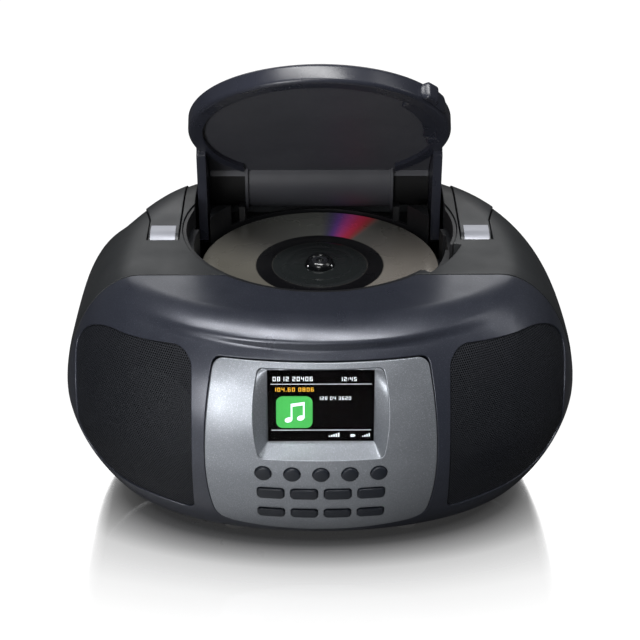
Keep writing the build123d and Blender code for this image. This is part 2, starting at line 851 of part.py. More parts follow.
def at_speaker(solid):
    return Pos(speaker_x, speaker_y, speaker_z) * Rot(0, 0, speaker_angle) * solid


def cone_shell(y0, r0, y1, r1, thick):
    # A hollow cone along Y
    outer = [(r0, y0), (r1, y1), (r1 - thick, y1), (r0 - thick, y0)]
    return revolve(make_face(Polyline(*outer, close=True)), Axis.Y, 360)


def speaker():
    rim = ring(0, 0, 0, speaker_radius, speaker_radius - 4, 2.0, "Y")
    basket = cone_shell(1.0, speaker_radius - 2.5, speaker_depth - 8, 15.0, 1.4)
    magnet = rod(0, speaker_depth - 8.4, 0, 17.0, 8.4, "Y")
    return at_speaker(rim + basket + magnet)


def speaker_cone():
    roll = ring(0, -0.2, 0, speaker_radius - 4.1, speaker_radius - 7, 1.4, "Y")
    cone = cone_shell(0.4, speaker_radius - 6, 11.0, 8.0, 1.0)
    cap = Pos(0, 12.4, 0) * Sphere(8.4) & block(-9, 9, 2, 11, -9, 9)
    return at_speaker(roll + cone + cap)


def baffle():
    board = block(-26, 37, 2.0, 2.0 + baffle_thick, -43.5, 36)
    board -= rod(0, 0, 0, speaker_radius - 1.6, 20, "Y")
    board = at_speaker(board) & skin(wall + 0.08, recess_front)
    board = board & skin(grille_sink + grille_thick + 1.0)
    return board & block(panel_mid_half + 2, far, -far, seam_y - 2, 0, far)


# Battery bay, boards and feet

def battery_box():
    body = block(-bay_half, bay_half, bay_front, bay_back, base_z + wall, bay_top)
    body -= block(-bay_half + bay_wall, bay_half - bay_wall, bay_front + bay_wall,
                  bay_back - bay_wall, 0, bay_top - bay_wall)
    posts = [rod(x, y, bay_top, 3.0, 2.5) for x in (-42, 42) for y in (6, 48)]
    return body + posts


def battery_contacts():
    plates = []
    half = bay_half - bay_wall
    for y in (14.0, 40.0):
        for side in (-1, 1):
            plate = block(side * (half - 0.6), side * half, y - 8, y + 8, 10, 30)
            plates.append(plate + rod(side * (half - 1.0) - 0.6, y, 20, 3.5, 1.2, "X"))
    return joined(plates)


def battery_cover():
    half = door_half - 0.4
    plate = block(-half, half, door_axis_y, door_back - 0.4, base_z, base_z + door_thick)
    plate += rod(-half, door_axis_y, door_axis_z, door_thick / 2, 2 * half, "X")
    reach = door_pin_reach - 0.1
    plate += rod(-reach, door_axis_y, door_axis_z, door_pin, 2 * reach, "X")
    catch = block(-9, 9, door_back - 8, door_back - 3, base_z - 0.1, base_z + 1.0)
    return plate - catch


def main_board():
    low = bay_top + 2.5
    return block(-50, 50, bay_front, bay_back, low, low + board_thick)


def board_parts():
    low = bay_top + 2.5 + board_thick
    pieces = [rod(x, y, low, 5.0, 14) for x, y in ((-38, 10), (-26, 10), (-38, 24))]
    pieces.append(block(6, 30, 30, 46, low, low + 2.4))
    pieces.append(block(-12, 0, 36, 50, low, low + 8))
    fins = block(34, 46, 4, 40, low, low + 3)
    fins = fins + [block(34 + 3 * i, 35.2 + 3 * i, 4, 40, low + 2.9, low + 20) for i in range(4)]
    pieces.append(fins)
    return joined(pieces)


def rubber_feet():
    pads = []
    for x, y in feet:
        pads += [rod(x, y, 0, foot_radius, base_z), rod(-x, y, 0, foot_radius, base_z)]
    return joined(pads)


def case_screws():
    screws = []
    near = seam_y + 5 + seam_gap / 2
    for z in lug_heights:
        pin = rod(lug_x, near - screw_length, z, screw_radius, screw_length, "Y")
        pin += rod(lug_x, near, z, screw_head, screw_head_thick, "Y")
        screws += [pin, mirror(pin, about=Plane.YZ)]
    for x, y in split_lugs:
        pin = rod(x, y, split_z - 6, screw_radius, screw_length)
        pin += rod(x, y, split_z - 6 - screw_head_thick, screw_head, screw_head_thick)
        screws += [pin, mirror(pin, about=Plane.YZ)]
    return joined(screws)


# Telescopic aerial, lying along the ledge

def aerial_base():
    low = ledge_z
    body = rod(aerial_x, aerial_y, low, 4.2, 3.4)
    body += rod(aerial_x, aerial_y, low - 3.6, aerial_post, 4.0)
    gap = 2.2
    for side in (-1, 1):
        near, off = aerial_y + side * gap, aerial_y + side * (gap + aerial_cheek)
        body += block(aerial_x - 3.4, aerial_x + 3.4, near, off, low + 3.2, aerial_z + 3.4)
    return body + rod(aerial_x, aerial_y - gap - 0.5, aerial_z, 1.2, 2 * gap + 1, "Y")


def aerial_arm():
    knuckle = rod(aerial_x, aerial_y - 2.1, aerial_z, aerial_knuckle, 4.2, "Y")
    neck = rod(aerial_x - aerial_neck - 1, aerial_y, aerial_z, 1.9, aerial_neck, "X")
    length = aerial_length - aerial_neck
    outer, inner = aerial_radii[0], aerial_radii[0] - aerial_wall
    tube = rod(aerial_x - aerial_length, aerial_y, aerial_z, outer, length, "X")
    tube -= rod(aerial_x - aerial_length - 1, aerial_y, aerial_z, inner, length - 4, "X")
    return knuckle + neck + tube - rod(aerial_x, aerial_y - 5, aerial_z, 1.2 + running_gap, 10, "Y")


def aerial_section(number):
    radius = aerial_radii[number]
    tip = aerial_x - aerial_length - aerial_step * number
    start = aerial_x - 16 - aerial_step * number
    body = rod(tip, aerial_y, aerial_z, radius, start - tip, "X")
    if number < 3:
        return body - rod(tip - 1, aerial_y, aerial_z, radius - aerial_wall, start - tip - 1, "X")
    return body + rod(tip - 5, aerial_y, aerial_z, aerial_radii[0], 5.4, "X")


def save(name, solid):
    # A boolean that leaves several solids gives a list
    if isinstance(solid, list):
        solid = joined(solid)
    export_step(solid, f"parts/{name}.step")
    print(name, round(solid.volume))


def main():
    os.makedirs("parts", exist_ok=True)
    save("front_fascia", fascia())
    save("top_cover", top_cover())
    save("rear_cabinet", rear_cabinet())
    save("left_grille", grille(-1))
    save("right_grille", grille(1))
    save("control_panel", control_panel())
    save("display_lens", screen_slab(0, lens_thick, screen_width, screen_height))
    save("display_module", display_module())
    for number, place in enumerate(key_places(), start=1):
        kind = "round" if number <= round_count else "bar"
        count = number if number <= round_count else number - round_count
        save(f"{kind}_key_{count}", key(*place))
    save("key_board", key_board())
    save("key_switches", key_switches())
    save("cd_tray", cd_tray())
    save("cd_chassis", cd_chassis())
    save("chassis_dampers", chassis_dampers())
    save("spindle_motor", spindle_motor())
    save("turntable", turntable())
    save("disc", cd_disc())
    save("laser_sled", laser_sled())
    save("laser_lens", laser_lens())
    save("sled_rails", sled_rails())
    save("sled_screw", sled_screw())
    save("sled_motor", sled_motor())
    save("lid_shell", opened(lid_shell()))
    save("lid_liner", opened(lid_liner()))
    save("lid_grip", opened(lid_grip()))
    save("lid_pins", lid_pins())
    save("lid_springs", lid_springs())
    save("handle", handle_body())
    save("handle_inserts", joined([handle_insert(-1), handle_insert(1)]))
    save("handle_pivots", handle_pivots())
    save("speaker_baffles", joined([baffle(), mirror(baffle(), about=Plane.YZ)]))
    save("right_speaker", speaker())
    save("left_speaker", mirror(speaker(), about=Plane.YZ))
    save("speaker_cones", joined([speaker_cone(), mirror(speaker_cone(), about=Plane.YZ)]))
    save("battery_box", battery_box())
    save("battery_contacts", battery_contacts())
    save("battery_cover", battery_cover())
    save("main_board", main_board())
    save("board_parts", board_parts())
    save("rear_sockets", rear_sockets())
    save("rubber_feet", rubber_feet())
    save("case_screws", case_screws())
    save("aerial_base", aerial_base())
    save("aerial_arm", aerial_arm())
    for number in (1, 2, 3):
        save(f"aerial_section_{number}", aerial_section(number))


if __name__ == "__main__":
    main()
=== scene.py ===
from math import acos, asin, atan2, cos, pi, radians, sin, sqrt, tan
import bmesh
import bpy
import numpy as np
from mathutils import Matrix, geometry
from numpy.linalg import norm


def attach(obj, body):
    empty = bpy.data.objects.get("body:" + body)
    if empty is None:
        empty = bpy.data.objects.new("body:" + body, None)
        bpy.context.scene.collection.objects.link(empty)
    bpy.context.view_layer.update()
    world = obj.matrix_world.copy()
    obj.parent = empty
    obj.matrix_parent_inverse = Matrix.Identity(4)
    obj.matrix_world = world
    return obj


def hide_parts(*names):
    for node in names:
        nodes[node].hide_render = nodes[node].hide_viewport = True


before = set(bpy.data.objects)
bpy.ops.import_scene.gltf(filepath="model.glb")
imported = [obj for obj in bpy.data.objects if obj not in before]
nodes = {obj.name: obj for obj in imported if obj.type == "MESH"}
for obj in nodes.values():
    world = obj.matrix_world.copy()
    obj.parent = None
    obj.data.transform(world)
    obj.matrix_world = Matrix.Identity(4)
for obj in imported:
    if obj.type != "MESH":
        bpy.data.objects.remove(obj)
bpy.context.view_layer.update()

scene = bpy.context.scene
mm = 0.001

# The cabinet's form in millimetres: the same numbers as the solids have
caseForm = {
    "halfWidth": 125.0, "frontReach": 84.0, "rearReach": 150.0, "waistY": -33.0,
    "bellyZ": 65.0, "topZ": 129.0, "baseZ": 2.5,
    "topInset": 37.5, "rearTopInset": 50.0, "baseInset": 42.0,
    "topPower": 1.9, "basePower": 1.6, "rearPower": 2.5,
    "scoopDepth": 4.0, "scoopHalf": 90.0, "browZ": 122.5, "browRise": 2.5, "browRoll": 5.0,
    "seamY": -43.0, "seamGap": 0.2, "discY": 9.0, "openingRadius": 68.6,
}

# Half axes of the flat top and of the flat base
deckHalf, deckReach = (caseForm[k] - caseForm["topInset"] for k in ("halfWidth", "frontReach"))
baseHalf, baseReach = (caseForm[k] - caseForm["baseInset"] for k in ("halfWidth", "frontReach"))


# Small helpers

def smoothStep(x):
    x = np.clip(x, 0.0, 1.0)
    return x * x * (3 - 2 * x)


def unit(v):
    return v / np.maximum(norm(v, axis=-1, keepdims=True), 1e-12)


def lengthAlong(line):
    return np.concatenate([[0], np.cumsum(norm(np.diff(line, axis=0), axis=1))])


def gridFaces(rows, columns, start=0, flip=False):
    # Quads between rows of points, each row a closed ring
    r, c = np.arange(rows - 1)[:, None] * columns, np.arange(columns)
    r2, c2 = r + columns, (c + 1) % columns
    quads = np.stack([r + c, r + c2, r2 + c2, r2 + c], -1).reshape(-1, 4) + start
    return quads[:, ::-1] if flip else quads


def newMesh(name, points, faces, normals=None):
    mesh = bpy.data.meshes.new(name)
    faces = [list(map(int, f)) for f in faces]
    mesh.from_pydata((np.asarray(points) * mm).tolist(), [], faces)
    mesh.polygons.foreach_set("use_smooth", np.ones(len(mesh.polygons), bool))
    mesh.update()
    if normals is not None:
        mesh.normals_split_custom_set_from_vertices(unit(np.asarray(normals)).tolist())
    return mesh


def place(mesh, material, body, replaced=()):
    piece = bpy.data.objects.new(mesh.name, mesh)
    scene.collection.objects.link(piece)
    mesh.materials.clear()
    mesh.materials.append(material)
    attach(piece, body)
    if replaced:
        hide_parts(*replaced)
    return piece


def weld(mesh, distance=2e-6, outward=False):
    work = bmesh.new()
    work.from_mesh(mesh)
    bmesh.ops.remove_doubles(work, verts=work.verts, dist=distance)
    if outward:
        bmesh.ops.recalc_face_normals(work, faces=work.faces)
    work.to_mesh(mesh)
    work.free()
    mesh.update()
    return mesh


def sharpen(mesh, angle):
    mesh.polygons.foreach_set("use_smooth", np.ones(len(mesh.polygons), bool))
    mesh.set_sharp_from_angle(angle=radians(angle))


def solid(name, points, faces, material, body, replaced=(), sharp=0, outward=False):
    # A welded piece, its edges kept sharp beyond an angle
    mesh = weld(newMesh(name, points, faces), 1e-6, outward)
    if sharp:
        sharpen(mesh, sharp)
    return place(mesh, material, body, replaced)


# Cabinet form: inset of a section and the profile up the skin

aboveBelly, belowBelly = ("topZ", "topInset", "topPower"), ("baseZ", "baseInset", "basePower")


def insetAt(z):
    # Superellipse quarters: inset = full inset times 1 - (1 - t^p)^(1/p), t from belly to flat
    f = caseForm

    def quarter(end, inset, power):
        t = np.clip((z - f["bellyZ"]) / (f[end] - f["bellyZ"]), 0, 1)
        return f[inset] * (1 - (1 - t ** f[power]) ** (1 / f[power]))

    return np.where(z >= f["bellyZ"], quarter(*aboveBelly), quarter(*belowBelly))


def makeProfile(count=500):
    # One line up the front: z and inset against arc length from the belly, from the base to the deck
    f = caseForm
    a = np.linspace(0, pi / 2, count)

    def quarter(end, inset, power):
        z = f["bellyZ"] + (f[end] - f["bellyZ"]) * np.sin(a) ** (2 / f[power])
        return np.stack([z, f[inset] * (1 - np.cos(a) ** (2 / f[power]))], -1)

    line = np.vstack([quarter(*belowBelly)[:0:-1], quarter(*aboveBelly)])
    length = lengthAlong(line)
    return line[:, 0], line[:, 1], length - length[count - 1]


profileZ, profileInset, profileV = makeProfile()
deckV, floorV = profileV[-1], profileV[0]


def scoop(x, y, z):
    # Depth of the shallow recess under the brow, 0 at its ends and above the brow
    f = caseForm
    edge = f["browZ"] + f["browRise"] * (x / 80) ** 2
    share = smoothStep((edge - z) / f["browRoll"])
    across = np.clip(1 - (x / f["scoopHalf"]) ** 2, 0, 1)
    return f["scoopDepth"] * across * share * smoothStep((-46 - y) / 15)


def casePoint(u, v):
    # u is the angle round the front ellipse, v the distance up the profile and in over the flats
    f = caseForm
    vIn = np.clip(v, floorV, deckV)
    z = np.interp(vIn, profileV, profileZ)
    inset = np.interp(vIn, profileV, profileInset)
    k = 1 - np.clip(v - deckV, 0, None) / deckReach - np.clip(floorV - v, 0, None) / baseReach
    x = k * (f["halfWidth"] - inset) * np.sin(u)
    y = f["waistY"] - k * (f["frontReach"] - inset) * np.cos(u)
    return np.stack([x, y + scoop(x, y, z), z], -1)


def fromFront(x, z):
    # The (u, v) of a place given in the front view
    return np.arcsin(np.clip(x / (caseForm["halfWidth"] - insetAt(z)), -1, 1)), np.interp(z, profileZ, profileV)


def fromFlat(x, y, top=True):
    # The (u, v) of a place on the flat top or the flat base
    half, reach, edge, way = (deckHalf, deckReach, deckV, 1) if top else (baseHalf, baseReach, floorV, -1)
    side, ahead = x / half, (caseForm["waistY"] - y) / reach
    return np.stack([np.arctan2(side, ahead), edge + way * (1 - np.hypot(side, ahead)) * reach], -1)


def normalOf(shape, u, v):
    # Cross product of the two directions of a surface, by central differences
    du, dv = 0.0002, 0.02
    across = shape(u + du, v) - shape(u - du, v)
    along = shape(u, v + dv) - shape(u, v - dv)
    return unit(np.cross(across, along))


def frontPoint(x, z, proud):
    # The scooped front skin over a place of the front view, moved out by proud
    u, v = fromFront(x, z)
    return casePoint(u, v) + normalOf(casePoint, u, v) * proud


# Outlines

def evenly(points, step):
    # Points at even steps round a closed line
    line = np.vstack([points, points[:1]])
    length = lengthAlong(line)
    at = np.linspace(0, length[-1], max(int(round(length[-1] / step)), 8), endpoint=False)
    return np.stack([np.interp(at, length, line[:, i]) for i in (0, 1)], -1)


def bar(x0, x1, y0, y1):
    return [(x0, y0), (x1, y0), (x1, y1), (x0, y1)]


def roundedOutline(corners, radii, step):
    # Straight sides joined by arcs, each arc tangent to both sides
    corners = np.asarray(corners, float)
    parts = []
    for i, radius in enumerate(radii):
        before, here, after = corners[i - 1], corners[i], corners[(i + 1) % len(corners)]
        a, b = unit(before - here), unit(after - here)
        half = acos(max(-1.0, min(1.0, float(a @ b)))) / 2
        middle = here + unit(a + b) * radius / sin(half)
        start, end = here + a * radius / tan(half), here + b * radius / tan(half)
        t = np.linspace(0, 1, 13)[:, None]
        blendArc = unit((start - middle) * (1 - t) + (end - middle) * t)
        parts.append(middle + blendArc * radius)
    return evenly(np.vstack(parts), step)


def arcThrough(p, q, r):
    # The arc through three points
    p, q, r = (complex(*v) for v in (p, q, r))
    w = (r - p) / (q - p)
    centre = (q - p) * (w - abs(w) ** 2) / (2j * w.imag) + p
    a0, a1, a2 = (np.angle(v - centre) for v in (p, q, r))
    a1 = a0 + (a1 - a0 + pi) % (2 * pi) - pi
    a2 = a1 + (a2 - a1 + pi) % (2 * pi) - pi
    c = centre + abs(p - centre) * np.exp(1j * np.linspace(a0, a2, 40))
    return np.stack([c.real, c.imag], -1)


def softCorner(before, after, cut):
    # A quadratic curve in place of the corner where two lines meet, leaving out cut at each side
    def trimmed(line, fromEnd):
        line = line[::-1] if fromEnd else line
        length = lengthAlong(line)
        point = np.array([np.interp(cut, length, line[:, i]) for i in (0, 1)])
        rest = np.vstack([point, line[length > cut]])
        return rest[::-1] if fromEnd else rest
    corner = after[0]
    first, second = trimmed(before, True), trimmed(after, False)
    t = np.linspace(0, 1, 9)[1:-1, None]
    curve = (1 - t) ** 2 * first[-1] + 2 * t * (1 - t) * corner + t ** 2 * second[0]
    return first, curve, second


def joined(right, base, cuts, step):
    # An outline from its right side and base, its corners softened by the upper and the lower cut
    left = right[::-1] * (-1, 1)
    sides = [right, np.linspace(right[-1], left[0], 40), left, base]
    for i in range(4):
        j = (i + 1) % 4
        first, curve, second = softCorner(sides[i], sides[j], cuts[i // 2])
        sides[i], sides[j] = np.vstack([first, curve]), second
    return evenly(np.vstack(sides), step)


panelLook = {"top": 114.0, "low": 17.0, "topHalf": 48.6, "midHalf": 53.3, "lowHalf": 49.0, "proud": 0.6}


def panelOutline(grow, step):
    p = panelLook
    top, mid, low = p["topHalf"] + grow, p["midHalf"] + grow, p["lowHalf"] + grow
    high, deep = p["top"] + grow, p["low"] - grow
    middle, corner = (p["top"] + p["low"]) / 2 + 8, p["low"] - grow + 7.5
    right = arcThrough((low, corner), (mid, middle), (top, high))
    base = arcThrough((-low, corner), (0, deep), (low, corner))
    return joined(right, base, (4.5, 8.0), step)


grilleLook = {"corners": ((60.4, 27.5), (117.5, 38.0), (117.5, 112.0), (58.8, 116.5)),
              "radii": (4.0, 26.0, 24.0, 8.0), "sink": 0.75, "pitch": 1.08, "hole": 0.35, "thick": 0.5, "under": 1.0}


def grilleOutline(side, grow=0.0, step=1.0):
    g = grilleLook
    outwards = ((-1, -1), (1, -1), (1, 1), (-1, 1))
    corners = [(x + grow * a, z + grow * b) for (x, z), (a, b) in zip(g["corners"], outwards)]
    line = roundedOutline(corners, [r + grow for r in g["radii"]], step)
    return line if side > 0 else line[::-1] * (-1, 1)


def inside(points, outline):
    # Even and odd crossings of a level ray with the outline
    x, y = points[:, 0][:, None], points[:, 1][:, None]
    x0, y0 = outline[:, 0], outline[:, 1]
    x1, y1 = np.roll(x0, -1), np.roll(y0, -1)
    rise = np.where(y1 == y0, 1e-12, y1 - y0)
    crossing = ((y0 > y) != (y1 > y)) & (x < (x1 - x0) * (y - y0) / rise + x0)
    return crossing.sum(1) % 2 == 1


def within(points, loops):
    # Inside the first outline and outside the others
    return inside(points, loops[0]) & ~np.any([inside(points, hole) for hole in loops[1:]], axis=0)


def nearest(points, outline):
    gap = np.full(len(points), 1e9)
    for start in range(0, len(outline), 200):
        part = outline[start:start + 200]
        gap = np.minimum(gap, norm(points[:, None] - part[None], axis=2).min(1))
    return gap


def cutSheet(outer, holes, spacing, scale):
    # Triangles over an outline less its holes, from the outlines' points and a grid between them
    loops = [outer] + holes
    flat = [loop * scale for loop in loops]
    low, high = flat[0].min(0), flat[0].max(0)
    gx = np.arange(low[0], high[0], spacing)
    gy = np.arange(low[1], high[1], spacing * 0.87)
    grid = np.stack(np.meshgrid(gx, gy), -1)
    grid[1::2, :, 0] += spacing / 2
    grid = grid.reshape(-1, 2)
    grid = grid[within(grid, flat)]
    grid = grid[nearest(grid, np.vstack(flat)) > spacing * 0.45]
    points = np.vstack(flat + [grid])
    edges, start = [], 0
    for loop in flat:
        n = len(loop)
        edges += [(start + i, start + (i + 1) % n) for i in range(n)]
        start += n
    found = geometry.delaunay_2d_cdt(points.tolist(), edges, [], 0, 1e-7, True)
    where = np.zeros(len(found[0]), int)
    for i, sources in enumerate(found[3]):
        where[i] = min(sources) if sources else -1
    triangles = where[np.array([f[:3] for f in found[2]], int)]
    triangles = triangles[within(points[triangles].mean(1), flat) & (triangles.min(1) >= 0)]
    a, b, c = (points[triangles[:, i]] for i in range(3))
    turned = np.cross(b - a, c - a) < 0
    triangles[turned] = triangles[turned][:, ::-1]
    return points / scale, triangles


def rimStrip(points, normals, radius, depth, start, outwards, into=None):
    # A rounded edge that turns off the surface into the hole, then a wall straight in or along a given way
    into = -normals if into is None else np.array(into, float)[None] + 0 * normals
    along = unit(np.roll(points, -1, 0) - np.roll(points, 1, 0))
    aside = unit(np.cross(normals, along)) * outwards
    angles = np.radians([0, 22, 45, 68, 90])
    rings = [points + aside * radius * sin(a) - normals * radius * (1 - cos(a)) for a in angles]
    turns = [normals * cos(a) + aside * sin(a) for a in angles]
    rings.append(rings[-1] + into * (depth - radius))
    turns.append(unit(turns[-1] - into * np.sum(turns[-1] * into, axis=1, keepdims=True)))
    quads = gridFaces(len(rings), len(points), start=start, flip=outwards < 0)
    return np.vstack(rings), np.vstack(turns), quads


def sheetWithRims(shape, outer, holes, spacing, scale, rims):
    # A cut sheet laid on a surface, with a rounded rim round each of its outlines
    flat, triangles = cutSheet(outer, holes, spacing, scale)
    points = shape(flat[:, 0], flat[:, 1])
    normals = normalOf(shape, flat[:, 0], flat[:, 1])
    faces = [list(t) for t in triangles]
    allPoints, allNormals, total, start = [points], [normals], len(points), 0
    for loop, (radius, depth, *into) in zip([outer] + holes, rims):
        n = len(loop)
        ring, turn = points[start:start + n], normals[start:start + n]
        area = np.sum(loop[:, 0] * np.roll(loop[:, 1], -1) - np.roll(loop[:, 0], -1) * loop[:, 1])
        outwards = 1.0 if (area > 0) == (start > 0) else -1.0
        p, t, q = rimStrip(ring, turn, radius, depth, total, outwards, *into)
        allPoints.append(p)
        allNormals.append(t)
        faces += q.tolist()
        total += len(p)
        start += n
    return np.vstack(allPoints), faces, np.vstack(allNormals)


# Finishes

def tone(red, green, blue):
    c = np.array([red, green, blue]) / 255
    return (*np.where(c <= 0.04045, c / 12.92, ((c + 0.055) / 1.055) ** 2.4), 1.0)


def asColour(value):
    # From a grey level, three sRGB values or a ready colour
    if np.isscalar(value):
        return (value,) * 3 + (1,)
    return tone(*value) if len(value) == 3 else value


def feed(tree, node, values):
    # Inputs by name or number: another node's output is linked, anything else is set
    for key, value in values.items():
        if isinstance(value, bpy.types.NodeSocket):
            tree.links.new(value, node.inputs[key])
        else:
            node.inputs[key].default_value = value


def newNode(tree, kind, values=None, **settings):
    node = tree.nodes.new("ShaderNode" + kind)
    for key, value in settings.items():
        setattr(node, key, value)
    feed(tree, node, values or {})
    return node


def maths(tree, operation, *values):
    return newNode(tree, "Math", dict(enumerate(values)), operation=operation).outputs[0]


def layered(tree, share, under, over):
    return newNode(tree, "MixShader", {0: share, 1: under.outputs[0], 2: over.outputs[0]})


def mixColours(tree, factor, a, b):
    a, b = (v if isinstance(v, bpy.types.NodeSocket) else asColour(v) for v in (a, b))
    return newNode(tree, "Mix", {0: factor, 6: a, 7: b}, data_type="RGBA").outputs[2]


def ramp(tree, source, stops, low=0.0, high=1.0):
    # A value, mapped from low..high, to a colour by stops
    spread = newNode(tree, "MapRange", {0: source, 1: low, 2: high})
    node = newNode(tree, "ValToRGB", {0: spread.outputs[0]})
    while len(node.color_ramp.elements) < len(stops):
        node.color_ramp.elements.new(0.5)
    for element, (at, colour) in zip(node.color_ramp.elements, stops):
        element.position, element.color = at, asColour(colour)
    return node.outputs[0]


def noise(tree, coords, scale, detail=2.0, rough=0.5):
    values = {"Vector": coords, "Scale": scale, "Detail": detail, "Roughness": rough}
    return newNode(tree, "TexNoise", values).outputs["Fac"]


def newMaterial(name):
    material = bpy.data.materials.new(name)
    material.use_nodes = True
    tree = material.node_tree
    return material, tree, tree.nodes["Principled BSDF"], newNode(tree, "TexCoord").outputs["Object"]


def finish(name, base, other, rough, metal=0.0, spec=0.5, coat=0.0, coatRough=0.2, grain=900.0, height=20, bump=0.4,
           spread=0.06, flecks=None, edge=0.0, sheen=0.0):
    # A moulded or painted surface: two near tones in soft patches, a fine grain as bump, uneven gloss. The grain's
    # height is in micrometres, the edges' rounding in millimetres, flecks are (scale, low, high, colour)
    material, tree, shader, coords = newMaterial(name)
    patches = ramp(tree, noise(tree, coords, 18.0, 3.0), [(0, 0), (1, 1)], 0.35, 0.65)
    colour = mixColours(tree, patches, base, other)
    if flecks:
        scale, low, high, bright = flecks
        mask = ramp(tree, noise(tree, coords, scale, 0.0), [(0, 0), (1, 1)], low, high)
        colour = mixColours(tree, mask, colour, bright)
    gloss = newNode(tree, "MapRange", {0: noise(tree, coords, 60.0, 4.0), 1: 0.3, 2: 0.7,
                                       3: rough - spread, 4: rough + spread})
    relief = newNode(tree, "Bump", {"Strength": bump, "Distance": height * 1e-6,
                                    "Height": noise(tree, coords, grain, 2.0, 0.6)})
    if edge:
        feed(tree, relief, {"Normal": newNode(tree, "Bevel", {"Radius": edge * mm}, samples=4).outputs[0]})
    feed(tree, shader, {"Base Color": colour, "Roughness": gloss.outputs[0], "Normal": relief.outputs[0],
                        "Metallic": metal, "Specular IOR Level": spec, "Coat Weight": coat,
                        "Coat Roughness": coatRough, "Sheen Weight": sheen})
    return material


faceLacquer = finish("faceLacquer", (47, 50, 60), (51, 54, 64), 0.33, metal=0.4, spec=0.6, grain=2600, height=3,
                     flecks=(3400, 0.62, 0.78, (72, 76, 88)), coat=0.25, coatRough=0.22)
coverPlastic = finish("coverPlastic", (33, 35, 37), (38, 40, 42), 0.46, grain=1500, height=30, bump=0.5, edge=0.6)
cabinetPlastic = finish("cabinetPlastic", (32, 34, 36), (37, 39, 41), 0.46, grain=1500, height=30, bump=0.5, edge=0.6)
handlePlastic = finish("handlePlastic", (38, 40, 43), (43, 45, 48), 0.42, grain=1700, height=25, bump=0.45, edge=0.7)
panelSilver = finish("panelSilver", (126, 130, 136), (133, 137, 143), 0.38, metal=0.6, grain=3000, height=5,
                     flecks=(3600, 0.6, 0.75, (165, 169, 176)))
grillePaint = finish("grillePaint", (26, 28, 33), (30, 32, 37), 0.55, spec=0.3, metal=0.2, grain=2200, height=10)
# Dark inner parts; also the painted shade on the lid liner's skirts
darkInsideAndPaintedShade = finish("darkInsideAndPaintedShade", (14, 14, 15), (19, 19, 20), 0.7, spec=0.2, grain=1200)
wellPlastic = finish("wellPlastic", (22, 23, 25), (27, 28, 31), 0.45, grain=1800, edge=0.4)
lidPlastic = finish("lidPlastic", (40, 42, 51), (45, 47, 57), 0.3, grain=1900, height=18, edge=0.6)
linerPlastic = finish("linerPlastic", (60, 61, 67), (66, 67, 73), 0.5, grain=1400, height=30, bump=0.6, edge=0.4)
keyPlastic = finish("keyPlastic", (20, 24, 31), (24, 28, 36), 0.4, spec=0.35, grain=2400, height=8)
rubberBlack = finish("rubberBlack", (24, 24, 25), (30, 30, 31), 0.85, spec=0.25, grain=700, height=40, sheen=0.2)
steelPlate = finish("steelPlate", (150, 152, 155), (168, 170, 172), 0.34, metal=1.0, grain=500, height=10)
chromeSteel = finish("chromeSteel", (205, 207, 210), (214, 216, 219), 0.12, metal=1.0, grain=300, height=2,
                     spread=0.03)
insertSilver = finish("insertSilver", (152, 154, 162), (160, 162, 170), 0.42, metal=0.3, grain=2600, height=6,
                      edge=0.4)
boardGreen = finish("boardGreen", (24, 74, 46), (30, 86, 54), 0.4, grain=420, height=30)
componentBlack = finish("componentBlack", (26, 26, 28), (34, 34, 36), 0.5)
hubPlastic = finish("hubPlastic", (13, 14, 16), (18, 19, 21), 0.22, coat=0.4, coatRough=0.1)
paperCone = finish("paperCone", (92, 95, 99), (102, 105, 109), 0.8, spec=0.2, grain=380, height=60)
brassTin = finish("brassTin", (190, 184, 160), (200, 194, 172), 0.3, metal=1.0, grain=400)
screenBlack = finish("screenBlack", (4, 2, 3), (6, 4, 5), 0.6, spec=0.02, grain=3000, height=2)


def clearGlass():
    # Thin hard-coated display window with faint wipe marks in its gloss
    material, tree, shader, coords = newMaterial("clearGlass")
    smear = ramp(tree, noise(tree, coords, 70.0, 4.0), [(0, 0.02), (1, 0.07)], 0.3, 0.7)
    feed(tree, shader, {"Roughness": smear, "Base Color": (0.93, 0.95, 0.96, 1), "Transmission Weight": 1.0,
                        "IOR": 1.09})
    return material


def glowing(name, colour, strength):
    # A lit part of the screen, with the fine raster of its dots
    material, tree, shader, coords = newMaterial(name)
    colour = tone(*colour)
    shade = mixColours(tree, noise(tree, coords, 2500.0, 0.0), tuple(c * 0.8 for c in colour[:3]) + (1,), colour)
    feed(tree, shader, {"Emission Color": shade, "Base Color": shade, "Emission Strength": strength,
                        "Roughness": 0.4})
    return material


# Front fascia; each rim is a radius and a depth

faceRim = {"grille": (0.4, 3.0), "panel": (0.5, 3.0), "seam": (0.9, 2.4), "openingGap": 1.2}
# About the millimetres in a unit of u and of v
skinScale = np.array([110.0, 1.0])


def fasciaOutline():
    # Up the right seam, over the deck and round the opening, back down the left and along the base
    f = caseForm
    line = f["seamY"] - f["seamGap"] / 2 - faceRim["seam"][0]
    ahead = f["waistY"] - line
    v = np.linspace(floorV, deckV, 400)
    reach = f["frontReach"] - np.interp(v, profileV, profileInset)
    side = np.stack([np.arccos(ahead / reach), v], -1)
    radius = f["openingRadius"] + faceRim["openingGap"]
    meet = sqrt(radius ** 2 - (f["discY"] - line) ** 2)
    across = np.linspace(deckHalf * sqrt(1 - (ahead / deckReach) ** 2), meet, 60)[1:]
    deck = fromFlat(across, line)
    turn = asin(meet / radius)
    a = np.linspace(turn, -turn, 160)[1:-1]
    arc = fromFlat(radius * np.sin(a), f["discY"] - radius * np.cos(a))
    top = np.vstack([deck, arc, deck[::-1] * (-1, 1)])
    baseX = baseHalf * sqrt(1 - (ahead / baseReach) ** 2)
    base = fromFlat(np.linspace(-baseX, baseX, 120)[1:-1], line, top=False)
    loop = np.vstack([side, top, side[::-1] * (-1, 1), base])
    return evenly(loop * skinScale, 1.1) / skinScale


